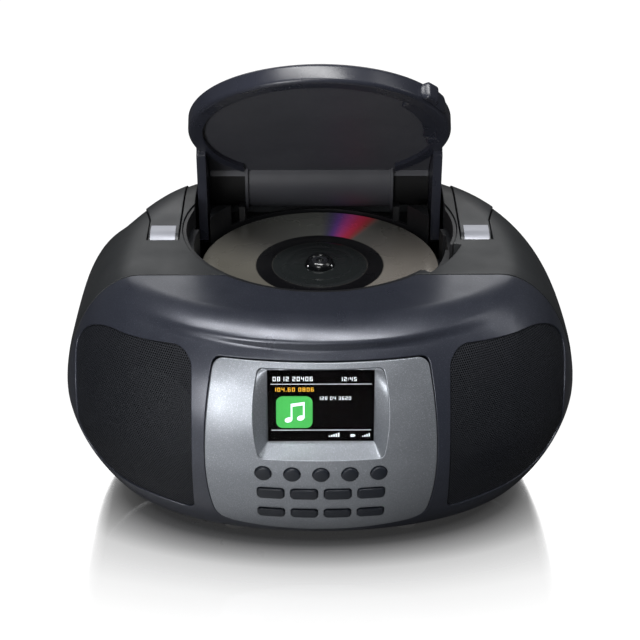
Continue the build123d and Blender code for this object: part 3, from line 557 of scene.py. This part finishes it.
def buildFascia():
    grow = faceRim["grille"][0]
    outlines = [grilleOutline(1, grow, 0.9), grilleOutline(-1, grow, 0.9),
                panelOutline(0.2 + faceRim["panel"][0], 0.9)]
    holes = [np.stack(fromFront(*outline.T), -1) for outline in outlines]
    rims = [faceRim[k] for k in ("seam", "grille", "grille", "panel")]
    sheet = sheetWithRims(casePoint, fasciaOutline(), holes, 1.7, skinScale, rims)
    place(newMesh("frontFascia", *sheet), faceLacquer, "case", ["front_fascia"])


buildFascia()
print("fascia")


# Speaker grilles: a punched sheet under the fascia's openings

def buildGrille(side):
    # Hexagonal cells on the skin, each with a hole and its wall; distance round the ellipse keeps the pitch even
    g = grilleLook
    table = np.linspace(0, 122.0, 800)
    y = caseForm["waistY"] - caseForm["frontReach"] * np.sqrt(1 - (table / caseForm["halfWidth"]) ** 2)
    arc = lengthAlong(np.stack([table, y], -1))
    pitch = g["pitch"]
    rows, columns = np.arange(-70, 70)[:, None], np.arange(0, 160)[None]
    s = columns * pitch + (rows % 2) * pitch / 2
    z = 75 + rows * pitch * sqrt(3) / 2 + 0 * s
    x = np.interp(s, arc, table)
    centres = np.stack([s.ravel(), z.ravel()], -1)
    centres = centres[inside(np.stack([x.ravel(), z.ravel()], -1), grilleOutline(1, g["under"]))]
    turn = np.radians(30 + 60 * np.arange(6))
    corners = np.stack([np.cos(turn), np.sin(turn)], -1)

    def onSkin(places):
        u, v = fromFront(np.interp(places[..., 0], arc, table), places[..., 1])
        normal = normalOf(casePoint, u, v)
        return casePoint(u, v) - normal * g["sink"], normal

    front, frontNormal = onSkin(centres[:, None] + corners * pitch / sqrt(3))
    lip, lipNormal = onSkin(centres[:, None] + corners * g["hole"])
    towards = unit(onSkin(centres[:, None])[0] - lip)
    bevelled = unit(lipNormal + towards * 0.8)
    points = np.stack([front, lip, lip, lip - lipNormal * g["thick"]], 1).reshape(-1, 3)
    normals = np.stack([frontNormal, bevelled, towards, towards], 1).reshape(-1, 3)
    first = (np.arange(len(centres)) * 24)[:, None]
    i, j = np.arange(6), (np.arange(6) + 1) % 6
    faces = np.vstack([np.stack([at + i, at + j, at + 6 + j, at + 6 + i], -1).reshape(-1, 4)
                       for at in (first, first + 12)])
    if side < 0:
        points, normals, faces = points * (-1, 1, 1), normals * (-1, 1, 1), faces[:, ::-1]
    hand = "right" if side > 0 else "left"
    sheet = newMesh(hand + "GrilleSheet", points, faces, normals)
    place(sheet, grillePaint, "case", [hand + "_grille"])


buildGrille(1)
buildGrille(-1)
print("grilles")


# Control panel, window and keys

windowLook = {"topHalf": 28.2, "midHalf": 30.7, "low": 70.5, "high": 111.0, "cut": 2.6, "edge": 0.5,
              "screenHalf": 24.4, "screenTall": 18.45, "screenY": -101.4, "screenZ": 92.5, "tilt": 4.8}
keyLook = {"roundPitch": 13.25, "roundRadius": 3.7, "roundZ": 62.6, "barPitch": 15.5, "barWide": 12.3,
           "barHigh": 6.6, "barRows": (50.2, 35.2), "corner": 1.6, "gap": 0.25, "rim": 0.3, "proud": 1.2, "edge": 0.7}


def windowOutline(grow):
    w = windowLook
    top, mid = w["topHalf"] + grow, w["midHalf"] + grow
    low, high = w["low"] - grow, w["high"] + grow
    middle = (low + high) / 2
    right = arcThrough((top, low), (mid, middle), (top, high))
    return joined(right, np.linspace((-top, low), (top, low), 40), (w["cut"], w["cut"]), 0.8)


def onScreen(s, t, depth):
    # A place on the screen's plane, s to the right and t up, depth behind its face
    w = windowLook
    lean = radians(w["tilt"])
    s, t = np.asarray(s, float), np.asarray(t, float)
    y = w["screenY"] + t * sin(lean) + depth * cos(lean)
    z = w["screenZ"] + t * cos(lean) - depth * sin(lean)
    return np.stack([s, y, z], -1)


def keyPlaces():
    # Each key's node, centre and outline in the front view
    k = keyLook
    a = np.linspace(0, 2 * pi, 40, endpoint=False)
    ring = np.stack([np.cos(a), np.sin(a)], -1) * k["roundRadius"]
    found = [(f"round_key_{i + 1}", ((i - 2) * k["roundPitch"], k["roundZ"]), ring) for i in range(5)]
    w, h = k["barWide"] / 2, k["barHigh"] / 2
    ring = roundedOutline(bar(-w, w, -h, h), [k["corner"]] * 4, 0.5)
    for i in range(8):
        found.append((f"bar_key_{i + 1}", ((i % 4 - 1.5) * k["barPitch"], k["barRows"][i // 4]), ring))
    return found


def panelPoint(x, z):
    return frontPoint(x, z, panelLook["proud"])


def buildPanel():
    w, k = windowLook, keyLook
    holes = [windowOutline(w["edge"])]
    for _, centre, ring in keyPlaces():
        along = np.roll(ring, -1, 0) - np.roll(ring, 1, 0)
        outward = unit(np.stack([along[:, 1], -along[:, 0]], -1))
        holes.append(ring + outward * (k["gap"] + k["rim"]) + centre)
    # The key holes' walls run the way the keys are pressed
    rims = [(0.7, 2.4), (w["edge"], 0.9)] + [(k["rim"], 2.4, (0, 1, 0))] * (len(holes) - 1)
    sheet = sheetWithRims(panelPoint, panelOutline(-0.7, 0.8), holes, 1.35, np.ones(2), rims)
    place(newMesh("controlPanel", *sheet), panelSilver, "case", ["control_panel"])


def buildWindow():
    # Straight walls from the mouth on the panel to the screen's edge, with a small step at the glass
    w = windowLook
    mouth = windowOutline(0.0)
    away = (mouth - (0.0, (w["low"] + w["high"]) / 2)) * 1.06
    s = np.clip(away[:, 0], -w["screenHalf"], w["screenHalf"])
    t = np.clip(away[:, 1], -w["screenTall"], w["screenTall"])
    share = np.linspace(0, 1, 9)[:, None, None]
    rows = frontPoint(mouth[:, 0], mouth[:, 1], 0.15)[None] * (1 - share) + onScreen(s, t, -0.35)[None] * share
    points = np.vstack([rows.reshape(-1, 3), onScreen(s * 0.995, t * 0.995, 0.15)])
    solid("windowWalls", points, gridFaces(10, len(mouth)), panelSilver, "case",
          sharp=40)


def buildKey(name, centre, ring):
    # A crowned cap, height = full + 0.25 (1 - share^2), with a rounded shoulder and a straight skirt
    k = keyLook
    inward = k["edge"] / norm(ring, axis=1).mean()
    rows = [(share * (1 - inward), k["proud"] + 0.25 * (1 - share ** 2))
            for share in (0.0, 0.3, 0.55, 0.75, 0.88, 0.96, 1.0)]
    rows += [(1 - inward + inward * sin(a), k["proud"] - k["edge"] * (1 - cos(a)))
             for a in np.radians([20, 45, 70, 90])]
    rows.append((1.0, -3.0))
    flat = np.vstack([ring * share for share, _ in rows]) + centre
    points = panelPoint(flat[:, 0], flat[:, 1])
    points[:, 1] -= np.repeat([height for _, height in rows], len(ring))
    solid(name + "_cap", points, gridFaces(len(rows), len(ring), flip=True), keyPlastic,
          name + "_body", [name], sharp=50)


buildPanel()
buildWindow()
for keyName, keyCentre, keyRing in keyPlaces():
    buildKey(keyName, keyCentre, keyRing)
print("panel and keys")


# Display: window glass and what the screen shows

displayLook = {"white": (232, 236, 240), "amber": (236, 176, 40), "green": (62, 168, 74),
               "glassHalf": 25.8, "glassTall": 19.3}


def screenPolygons(name, outlines, material, depth):
    # Flat outlines on the screen's plane, each a list of (s, t)
    points, faces = [], []
    for outline in outlines:
        line = np.asarray(outline, float)
        faces.append([len(points) + i for i in range(len(line))])
        points.extend(onScreen(line[:, 0], line[:, 1], depth))
    place(newMesh(name, points, faces), material, "case")


def digit(number, s, t, wide, high, thick):
    # Seven segments: top, upper right, lower right, bottom, lower left, upper left, middle
    lit = {"0": "abcdef", "1": "bc", "2": "abged", "3": "abgcd", "4": "fgbc", "5": "afgcd", "6": "afgedc",
           "8": "abcdefg"}[number]
    right, mid, top = s + wide, t + high / 2, t + high
    segments = {"a": bar(s, right, top - thick, top), "b": bar(right - thick, right, mid, top),
                "c": bar(right - thick, right, t, mid), "d": bar(s, right, t, t + thick),
                "e": bar(s, s + thick, t, mid), "f": bar(s, s + thick, mid, top),
                "g": bar(s, right, mid - thick / 2, mid + thick / 2)}
    return [segments[c] for c in lit]


def numberRow(s, t, text, wide, high, thick):
    # Digits in a row; a colon is two dots, a point one, a space a gap
    blocks = []
    for mark in text:
        if mark.isdigit():
            blocks += digit(mark, s, t, wide, high, thick)
            s += wide * 1.45
        elif mark in ":.":
            heights = (0.2, 0.6) if mark == ":" else (0.0,)
            blocks += [bar(s, s + thick, t + high * k, t + high * k + thick) for k in heights]
            s += thick + wide * 0.45
        else:
            s += wide * 0.8
    return blocks


def noteHead(s, t):
    # A leaning ellipse
    a = np.linspace(0, 2 * pi, 24, endpoint=False)
    return np.stack([s + 1.7 * np.cos(a) - 0.3 * np.sin(a), t + 1.25 * np.sin(a) + 0.5 * np.cos(a)], -1)


def buildDisplay():
    d = displayLook
    half, tall = d["glassHalf"], d["glassTall"]
    ring = roundedOutline(bar(-half, half, -tall, tall), [0.6] * 4, 1.2)
    # Each row is a share of the outline and a depth: the front face, the edge, the back face
    rows = [onScreen(ring[:, 0] * k, ring[:, 1] * k, depth)
            for k, depth in ((0.0, 0.2), (0.5, 0.2), (0.985, 0.2), (1, 0.35), (1, 1.25), (0.985, 1.4), (0.5, 1.4),
                             (0.0, 1.4))]
    solid("displayWindow", np.vstack(rows), gridFaces(8, len(ring), flip=True), clearGlass(), "case",
          ["display_lens"], sharp=30)
    white, amber, green = (glowing(n + "Light", d[n], s)
                           for n, s in (("white", 0.8), ("amber", 0.62), ("green", 0.5)))
    screenPolygons("screenDark", [bar(-25.3, 25.3, -18.9, 18.9)], screenBlack, 1.495)
    pale = []
    pale += numberRow(-21.8, 11.9, "0812 20406", 1.35, 2.2, 0.34)
    pale += numberRow(8.6, 11.9, "12:45", 1.25, 2.0, 0.32)
    pale += [bar(-22.8, 23.0, 10.25, 10.5), bar(-22.6, 23.0, -13.4, -13.15)]
    pale += numberRow(-1.2, 2.3, "128 04 3620", 1.05, 1.7, 0.26)
    pale += [bar(3.6 + 1.05 * i, 4.3 + 1.05 * i, -16.8, -16.2 + 0.35 * i) for i in range(5)]
    pale += [bar(13.6, 15.4, -16.8, -15.5), bar(15.4, 15.8, -16.45, -15.85)]
    pale += [bar(19.0 + 0.95 * i, 19.6 + 0.95 * i, -16.8, -16.3 + 0.45 * i) for i in range(4)]
    screenPolygons("screenWhite", pale, white, 1.45)
    screenPolygons("screenAmber", numberRow(-21.6, 6.6, "104.60 0806", 1.3, 2.0, 0.34), amber, 1.45)
    square = roundedOutline(bar(-20.4, -3.8, -12.2, 4.2), [3.2] * 4, 0.7)
    screenPolygons("screenGreen", [square], green, 1.47)
    # A plain musical note on the green square
    note = [noteHead(-14.8, -8.0), noteHead(-9.2, -7.0), bar(-13.8, -13.0, -7.8, 0.2), bar(-8.2, -7.4, -6.8, 1.2),
            [(-13.8, -1.3), (-7.4, -0.3), (-7.4, 1.3), (-13.8, 0.3)]]
    screenPolygons("screenNote", note, white, 1.44)


buildDisplay()
print("display")


# Disc and its drive

def lathe(profile, centre, steps):
    # A profile of (radius, height) turned about an upright axis
    profile = np.asarray(profile, float)
    a = np.linspace(0, 2 * pi, steps, endpoint=False)
    r, h = profile[:, 0][:, None], profile[:, 1][:, None]
    points = np.stack([centre[0] + r * np.cos(a), centre[1] + r * np.sin(a), centre[2] + h + 0 * a], -1)
    return points.reshape(-1, 3), gridFaces(len(profile), steps, flip=True)


discLook = {"radius": 60.0, "hole": 7.5, "z": 105.4, "thick": 1.2, "paintedStreak": (0.98, 1.56)}


def discFoil():
    # Zones by radius: clear hub, printed ring, foil; round the foil painted light and shade, and across it a painted
    # reflection, a rainbow streak
    material, tree, shader, coords = newMaterial("discFoil")
    rim, paintedStreakSpan, wholeTurn = discLook["radius"] * mm, discLook["paintedStreak"], (-pi, pi)
    centred = newNode(tree, "Mapping", {"Location": (0, -caseForm["discY"] * mm, 0), "Vector": coords})
    x, y = newNode(tree, "SeparateXYZ", {0: centred.outputs[0]}).outputs[:2]
    radius = maths(tree, "SQRT", maths(tree, "ADD", maths(tree, "MULTIPLY", x, x), maths(tree, "MULTIPLY", y, y)))
    angle = maths(tree, "ARCTAN2", y, x)
    # Painted light and shade round the foil: palest to the right, darkest to the left
    shade = ramp(tree, angle, [(0.0, (120, 117, 108)), (0.2, (128, 124, 114)), (0.4, (150, 144, 136)),
                               (0.52, (150, 144, 136)), (0.62, (132, 128, 122)), (0.75, (138, 140, 134)),
                               (0.88, (124, 122, 116)), (1.0, (120, 117, 108))], *wholeTurn)
    # Painted reflection: a rainbow streak fixed on the foil over these angles
    paintedStreak = ramp(tree, angle, [(0.0, (150, 144, 136)), (0.14, (214, 60, 66)), (0.34, (236, 70, 110)),
                             (0.5, (214, 80, 160)), (0.66, (130, 84, 170)), (0.82, (84, 76, 126)),
                             (1.0, (84, 84, 84))], *paintedStreakSpan)
    paintedStreakMask = ramp(tree, angle, [(0.0, 0), (0.25, 1), (0.7, 1), (1.0, 0)], *paintedStreakSpan)
    groove = maths(tree, "SINE", maths(tree, "MULTIPLY", radius, 9000.0))
    foil = mixColours(tree, ramp(tree, groove, [(0, 0), (1, 0.18)], -1, 1), mixColours(tree, paintedStreakMask, shade, paintedStreak),
                      (40, 40, 42))
    inner = ramp(tree, radius, [(0.0, 1), (0.4, 1), (0.405, 0), (1.0, 0)], 0.0, rim)
    printed = ramp(tree, radius, [(0.0, 0), (0.4, 0), (0.405, 1), (0.535, 1), (0.545, 0), (1.0, 0)], 0.0, rim)
    colour = mixColours(tree, printed, mixColours(tree, inner, foil, (38, 42, 42)), (13, 13, 15))
    # Painted glow: the streak and a painted pale patch of foil at the rear give off light, so they show in the lid's
    # shade too
    rear = ramp(tree, angle, [(0.0, 0), (0.56, 0), (0.72, (96, 98, 94)), (0.8, (84, 85, 82)), (0.92, 0), (1.0, 0)],
                *wholeTurn)
    bare = ramp(tree, radius, [(0.0, 1), (0.53, 1), (0.55, 0), (1.0, 0)], 0.0, rim)
    paintedGlow = mixColours(tree, bare, mixColours(tree, paintedStreakMask, rear, paintedStreak), 0)
    gloss = ramp(tree, noise(tree, coords, 40.0, 3.0), [(0, 0.24), (1, 0.32)], 0.3, 0.7)
    tangent = newNode(tree, "Tangent", direction_type="RADIAL", axis="Z").outputs[0]
    # The emission carries the painted glow
    feed(tree, shader, {"Base Color": colour, "Emission Color": paintedGlow, "Emission Strength": 0.16, "Metallic": 0.4,
                        "Anisotropic": 0.75, "Tangent": tangent, "Roughness": gloss, "Coat Weight": 0.6,
                        "Coat Roughness": 0.04})
    return material


def buildDisc():
    d = discLook
    hole, high, rim = d["hole"], d["thick"], d["radius"]
    line = [(hole, 0.15), (hole, high - 0.15), (hole + 0.15, high), (13.0, high), (13.3, high - 0.12),
            (16.4, high - 0.12), (16.7, high), (17.4, high), (17.7, high - 0.1), (22.0, high - 0.1), (22.3, high),
            (30.0, high), (45.0, high), (rim - 0.4, high), (rim - 0.1, high - 0.12), (rim, high - 0.35), (rim, 0.3),
            (rim - 0.2, 0.0), (40.0, 0.0), (20.0, 0.0), (hole + 0.15, 0.0)]
    points, faces = lathe(line + line[:1], (0, caseForm["discY"], d["z"]), 192)
    solid("discFace", points, faces, discFoil(), "spinner", ["disc"], sharp=24, outward=True)


def buildHub():
    # Platter and centring cone with its three spring balls and a bright ring
    y, base = caseForm["discY"], 103.2
    cone = ((0.0, 110.0), (1.1, 110.0), (1.5, 109.6), (1.7, 109.0), (4.4, 108.9), (4.8, 109.3), (5.0, 109.9),
            (5.6, 110.0), (6.3, 109.5), (7.0, 108.3), (7.3, 107.2), (7.35, 105.6))
    platter = [(7.35, 2.2), (12.6, 2.2), (13.0, 1.9), (13.0, 0.2), (12.8, 0.0), (1.0, 0.0), (1.0, -12.6),
               (0.0, -12.6)]
    points, faces = lathe([(r, z - base) for r, z in cone] + platter, (0, y, base), 96)
    solid("discHub", points, faces, hubPlastic, "spinner", ["turntable"], sharp=28, outward=True)
    ring = [(2.2, 0.0), (2.0, 0.35), (2.4, 0.62), (3.6, 0.66), (4.1, 0.4), (4.15, 0.0)]
    points, faces = lathe(ring, (0, y, 108.85), 64)
    solid("hubRing", points, faces, chromeSteel, "spinner", sharp=50)
    ball = [(0.95 * cos(b), 0.95 * sin(b)) for b in np.linspace(pi / 2, -pi / 2, 9)]
    centres = [(6.75 * cos(a), y + 6.75 * sin(a), 107.4) for a in np.radians([90, 210, 330])]
    points, faces = zip(*(lathe(ball, centre, 16) for centre in centres))
    faces = [quads + i * len(points[0]) for i, quads in enumerate(faces)]
    solid("hubBalls", np.vstack(points), np.vstack(faces), chromeSteel, "spinner")


buildDisc()
buildHub()
print("disc")


# The other shells: the solids' own shapes, welded and smoothed

def skinNormal(points):
    # Gradient of (1 - a/full)^p + t^p, where a is the inset whose section passes through the point
    f = caseForm
    x, y, z = points[:, 0], points[:, 1] - f["waistY"], points[:, 2]
    rear, up = y > 0, z >= f["bellyZ"]
    end, full, power = (np.where(up, f[above], f[below]) for above, below in zip(aboveBelly, belowBelly))
    reach, n = np.where(rear, f["rearReach"], f["frontReach"]), np.where(rear, f["rearPower"], 2.0)
    slope = np.where(rear & up, f["rearTopInset"] / f["topInset"], 1.0)
    low, high = np.full(len(x), -6.0), np.full(len(x), 80.0)
    for _ in range(40):
        a = (low + high) / 2
        value = (np.abs(x) / (f["halfWidth"] - a)) ** n + (np.abs(y) / np.maximum(reach - slope * a, 1e-6)) ** n
        low, high = np.where(value < 1, a, low), np.where(value < 1, high, a)
    wide, deep = f["halfWidth"] - a, reach - slope * a
    gx = n * np.abs(x) ** (n - 1) * np.sign(x) / wide ** n
    gy = n * np.abs(y) ** (n - 1) * np.sign(y) / deep ** n
    ga = np.maximum(n * np.abs(x) ** n / wide ** (n + 1) + slope * n * np.abs(y) ** n / deep ** (n + 1), 1e-9)
    t = np.clip((z - f["bellyZ"]) / (end - f["bellyZ"]), 0, 1)
    share = np.clip(1 - a / full, 0, 1.3)
    pull = power * share ** (power - 1) / full
    rise = power * t ** (power - 1) / (end - f["bellyZ"])
    grad = np.stack([pull * gx / ga, pull * gy / ga, rise], -1)
    level = share ** power + t ** power - 1
    return unit(grad), level / np.maximum(norm(grad, axis=1), 1e-9)


def fetched(items, key, width=1, kind=np.float32):
    values = np.empty(len(items) * width, kind)
    items.foreach_get(key, values)
    return values.reshape(-1, width) if width > 1 else values


def shellCopy(node, material, body, onSkin=False):
    # A welded copy of the solid's mesh, its outer skin shaded by the form's own normals
    mesh = nodes[node].data.copy()
    mesh.name = node + "_shell"
    if "custom_normal" in mesh.attributes:
        mesh.attributes.remove(mesh.attributes["custom_normal"])
    weld(mesh)
    sharpen(mesh, 30)
    if onSkin:
        index = fetched(mesh.loops, "vertex_index", kind=np.int32)
        sizes = fetched(mesh.polygons, "loop_total", kind=np.int32)
        flatNormal = np.repeat(fetched(mesh.polygons, "normal", 3), sizes, axis=0)
        corner = fetched(mesh.corner_normals, "vector", 3)
        ideal, gap = skinNormal(fetched(mesh.vertices, "co", 3).astype(float) / mm)
        ideal, gap = ideal[index], gap[index]
        match = ((ideal * flatNormal).sum(1) > cos(radians(14))) & (np.abs(gap) < 3.5)
        corner[match] = ideal[match]
        mesh.normals_split_custom_set(corner.tolist())
    return place(mesh, material, body, [node])


# Node, finish, body and whether it has the case's skin
shells = (("top_cover", coverPlastic, "case", True), ("rear_cabinet", cabinetPlastic, "case", True),
          ("handle", handlePlastic, "carry_handle", True), ("handle_inserts", insertSilver, "carry_handle"),
          ("cd_tray", wellPlastic, "case"), ("lid_shell", lidPlastic, "lid"), ("lid_liner", linerPlastic, "lid"),
          ("aerial_arm", chromeSteel, "aerial_lower"), ("aerial_section_1", chromeSteel, "aerial_first"),
          ("aerial_section_2", chromeSteel, "aerial_second"), ("aerial_section_3", chromeSteel, "aerial_third"),
          ("rubber_feet", rubberBlack, "case"), ("rear_sockets", componentBlack, "case"),
          ("speaker_cones", paperCone, "case"), ("left_speaker", darkInsideAndPaintedShade, "case"),
          ("right_speaker", darkInsideAndPaintedShade, "case"))
for shell in shells:
    shellCopy(*shell)
liner = bpy.data.objects["lid_liner_shell"].data
liner.materials.append(darkInsideAndPaintedShade)
for face in liner.polygons:
    # The skirts beside the apron get the dark finish as painted shade
    if abs(face.center[0]) > 39.1 * mm and face.center[2] < 131 * mm:
        face.material_index = 1
print("shells")

# The lid's measures as closed; it stands open by this angle about the hinge
lidLook = {"open": 46.0, "hingeY": 77.0, "hingeZ": 124.0, "rim": 65.3, "gripReach": 69.3, "gripFrom": -42.8,
           "gripTo": -18.2, "gripLow": 120.0, "gripHigh": 128.3, "plateFrom": -46.0, "plateTo": 14.0,
           "plateInner": 51.5, "plateOuter": 62.9, "plateLow": 119.55, "plateHigh": 121.8}


def onLid(radius, angle, z):
    # A place on the closed lid by radius and angle about the disc, turned with the lid to its open place
    k = lidLook
    turn = radians(-k["open"])
    x = radius * np.cos(angle)
    y = caseForm["discY"] + radius * np.sin(angle) - k["hingeY"]
    z = z - k["hingeZ"]
    return np.stack([x, k["hingeY"] + y * cos(turn) - z * sin(turn),
                     k["hingeZ"] + y * sin(turn) + z * cos(turn)], -1)


def arcBar(name, replaced, material, angles, inner, outer, low, high, boxy):
    # A bar that follows the rim; section: signed cos^boxy and sin^boxy, its radii and heights given along the arc
    t = np.linspace(0, 2 * pi, 28, endpoint=False)
    c = np.sign(np.cos(t)) * np.abs(np.cos(t)) ** boxy
    s = np.sign(np.sin(t)) * np.abs(np.sin(t)) ** boxy
    middle, half = (inner + outer)[:, None] / 2, (outer - inner)[:, None] / 2
    rise, tall = (low + high)[:, None] / 2, (high - low)[:, None] / 2
    rows = onLid(middle + half * c, angles[:, None] + 0 * t, rise + tall * s)
    ends = [rows[i].mean(0) + 0 * rows[i] for i in (0, -1)]
    points = np.concatenate([ends[:1], rows, ends[1:]]).reshape(-1, 3)
    solid(name, points, gridFaces(len(rows) + 2, len(t)), material, "lid", replaced,
          sharp=50, outward=True)


def buildLidGrip():
    # A low wing along the rim that rises to a small nub at its front end
    k = lidLook
    degrees = np.linspace(k["gripFrom"], k["gripTo"], 60)
    nub = smoothStep((degrees - k["gripFrom"]) / 1.6) * (1 - smoothStep((degrees + 35.5) / 3.0))
    wing = smoothStep((degrees - k["gripFrom"]) / 3.0) * smoothStep((k["gripTo"] - degrees) / 8.0)
    reach = (k["gripReach"] - k["rim"]) * np.maximum(nub, 0.3 * wing)
    middle = (k["gripLow"] + k["gripHigh"]) / 2
    tall = (k["gripHigh"] - k["gripLow"]) / 2 * (0.45 + 0.55 * np.maximum(wing, nub))
    arcBar("lidGrip", ["lid_grip"], lidPlastic, np.radians(degrees), 0 * degrees + k["rim"] - 0.5,
           k["rim"] + 0.05 + reach, middle - tall, middle + tall, 0.45)


def buildLidPlate():
    # The latch plate along the right of the lid's inside, with a step at its rear end
    k = lidLook
    degrees = np.linspace(k["plateFrom"], k["plateTo"], 70)
    ends = smoothStep((degrees - k["plateFrom"]) / 6) * smoothStep((k["plateTo"] - degrees) / 3)
    step = smoothStep((degrees - 4) / 1.5)
    low = k["plateLow"] + 1.2 * (1 - ends) + 0.7 * (1 - step)
    arcBar("lidPlate", [], lidPlastic, np.radians(degrees), k["plateInner"] + 7 * (1 - ends) + 3 * step,
           k["plateOuter"] - 2 * (1 - ends), low, 0 * low + k["plateHigh"], 0.4)


buildLidGrip()
buildLidPlate()
print("lid")

# The pieces kept as they are, by their finish
for material, kept in ((componentBlack, "display_module key_switches laser_sled battery_box board_parts aerial_base"),
                       (boardGreen, "key_board main_board"), (rubberBlack, "chassis_dampers"),
                       (steelPlate, "cd_chassis spindle_motor sled_motor lid_springs case_screws"),
                       (chromeSteel, "laser_lens sled_rails lid_pins handle_pivots"),
                       (brassTin, "sled_screw battery_contacts"), (darkInsideAndPaintedShade, "speaker_baffles"),
                       (cabinetPlastic, "battery_cover")):
    for node in kept.split():
        for materialSlot in nodes[node].material_slots:
            materialSlot.material = material


# Studio

# The camera in millimetres, degrees and pixels of a 640 pixel frame
studio = {"camera": (-3.58, -750.3, 509.7), "pitch": 29.84, "yaw": -0.28, "focal": 1694.2, "world": 0.07}
# Each softbox: place and target in millimetres, size in metres, power
softboxes = {"keySoftbox": ((-600, -1290, 240), (-20, -60, 80), (0.36, 0.5), 9.5),
             "frontSoftbox": ((-250, -1400, 900), (0, 0, 110), (0.5, 0.4), 4.5),
             "topSoftbox": ((-120, -330, 1280), (0, -40, 120), (1.1, 0.26), 16.5),
             "rimSoftbox": ((1150, -200, 800), (0, 0, 90), (0.4, 1.0), 2.4),
             "backSoftbox": ((0, 1300, 900), (0, 0, 120), (1.5, 0.6), 5.0)}
# Base half axes and waist as the floor's polish sees them, in metres
polish = {"halfWide": 0.083, "halfDeep": 0.042, "waist": 0.033}


def buildFloor():
    far = 6000
    mesh = newMesh("floorPaper", [(-far, -far, 0), (far, -far, 0), (far, far, 0), (-far, far, 0)], [(0, 1, 2, 3)])
    floor = bpy.data.objects.new("floorPaper", mesh)
    scene.collection.objects.link(floor)
    material, tree, shader, coords = newMaterial("floorWhite")
    tree.nodes.remove(shader)
    # The polish shows under the object and fades out round it: distance from the waist in base half axes
    p = polish
    squash = newNode(tree, "Mapping", {"Location": (0, p["waist"] / p["halfDeep"], 0), "Vector": coords,
                                       "Scale": (1 / p["halfWide"], 1 / p["halfDeep"], 0)})
    reach = newNode(tree, "VectorMath", {0: squash.outputs[0]}, operation="LENGTH").outputs["Value"]
    fade = ramp(tree, reach, [(0.0, 0.97), (0.06, 0.93), (0.2, 0.66), (0.3, 0.42), (0.58, 0.18), (0.84, 0.07),
                              (1.0, 0.0)], 1.1, 3.0)
    # Nothing is mirrored beyond the object's width
    across = maths(tree, "ABSOLUTE", newNode(tree, "SeparateXYZ", {0: coords}).outputs[0])
    beside = ramp(tree, across, [(0, 1), (1, 0)], 0.106, 0.124)
    # For the object the floor is painted dark, a painted shade, with a painted pool of light ahead of it on the left
    away = newNode(tree, "VectorMath", {0: coords, 1: (-0.1, -0.23, 0)}, operation="DISTANCE").outputs["Value"]
    paintedFloorLight = newNode(tree, "BsdfDiffuse", {0: ramp(tree, away, [(0, 0.7), (1, 0.05)], 0.05, 0.2)})
    grey, lit = newNode(tree, "BsdfDiffuse", {0: asColour(0.45)}), newNode(tree, "Emission", {1: 1.28})
    paper = layered(tree, 0.75, grey, lit)
    gloss = newNode(tree, "BsdfGlossy", {"Roughness": 0.1})
    seen = layered(tree, maths(tree, "MULTIPLY", fade, beside), paper, gloss)
    whole = layered(tree, newNode(tree, "LightPath").outputs["Is Camera Ray"], paintedFloorLight, seen)
    feed(tree, tree.nodes["Material Output"], {"Surface": whole.outputs[0]})
    mesh.materials.append(material)


def softbox(name, position, target, size, power):
    data = bpy.data.lights.new(name, "AREA")
    data.shape = "RECTANGLE"
    data.size, data.size_y = size
    data.energy = power
    lamp = bpy.data.objects.new(name, data)
    scene.collection.objects.link(lamp)
    lamp.location = np.array(position) * mm
    ahead = unit(np.array(target, float) - position)
    yaw = atan2(ahead[1], ahead[0]) - pi / 2
    lamp.rotation_euler = (acos(max(-1, min(1, -ahead[2]))), 0, yaw)


def buildStudio():
    s = studio
    for name, values in softboxes.items():
        softbox(name, *values)
    world = bpy.data.worlds.new("studioWorld")
    scene.world = world
    world.use_nodes = True
    tree = world.node_tree
    # A dim world lights the object; the camera sees it white, also through the display's window
    dim, bright = tree.nodes["Background"], newNode(tree, "Background", {0: asColour(1), 1: 1.0})
    feed(tree, dim, {0: asColour(1), 1: s["world"]})
    rays = newNode(tree, "LightPath").outputs
    seen = maths(tree, "MAXIMUM", rays["Is Camera Ray"], rays["Is Transmission Ray"])
    feed(tree, tree.nodes["World Output"], {"Surface": layered(tree, seen, dim, bright).outputs[0]})
    data = bpy.data.cameras.new("viewCamera")
    data.sensor_width = 36.0
    data.lens = s["focal"] / 640 * data.sensor_width
    data.clip_end = 50
    camera = bpy.data.objects.new("viewCamera", data)
    scene.collection.objects.link(camera)
    camera.location = np.array(s["camera"]) * mm
    camera.rotation_euler = (radians(90 - s["pitch"]), 0, radians(s["yaw"]))
    scene.camera = camera
    scene.view_settings.view_transform = "Standard"


buildFloor()
buildStudio()
print("studio")
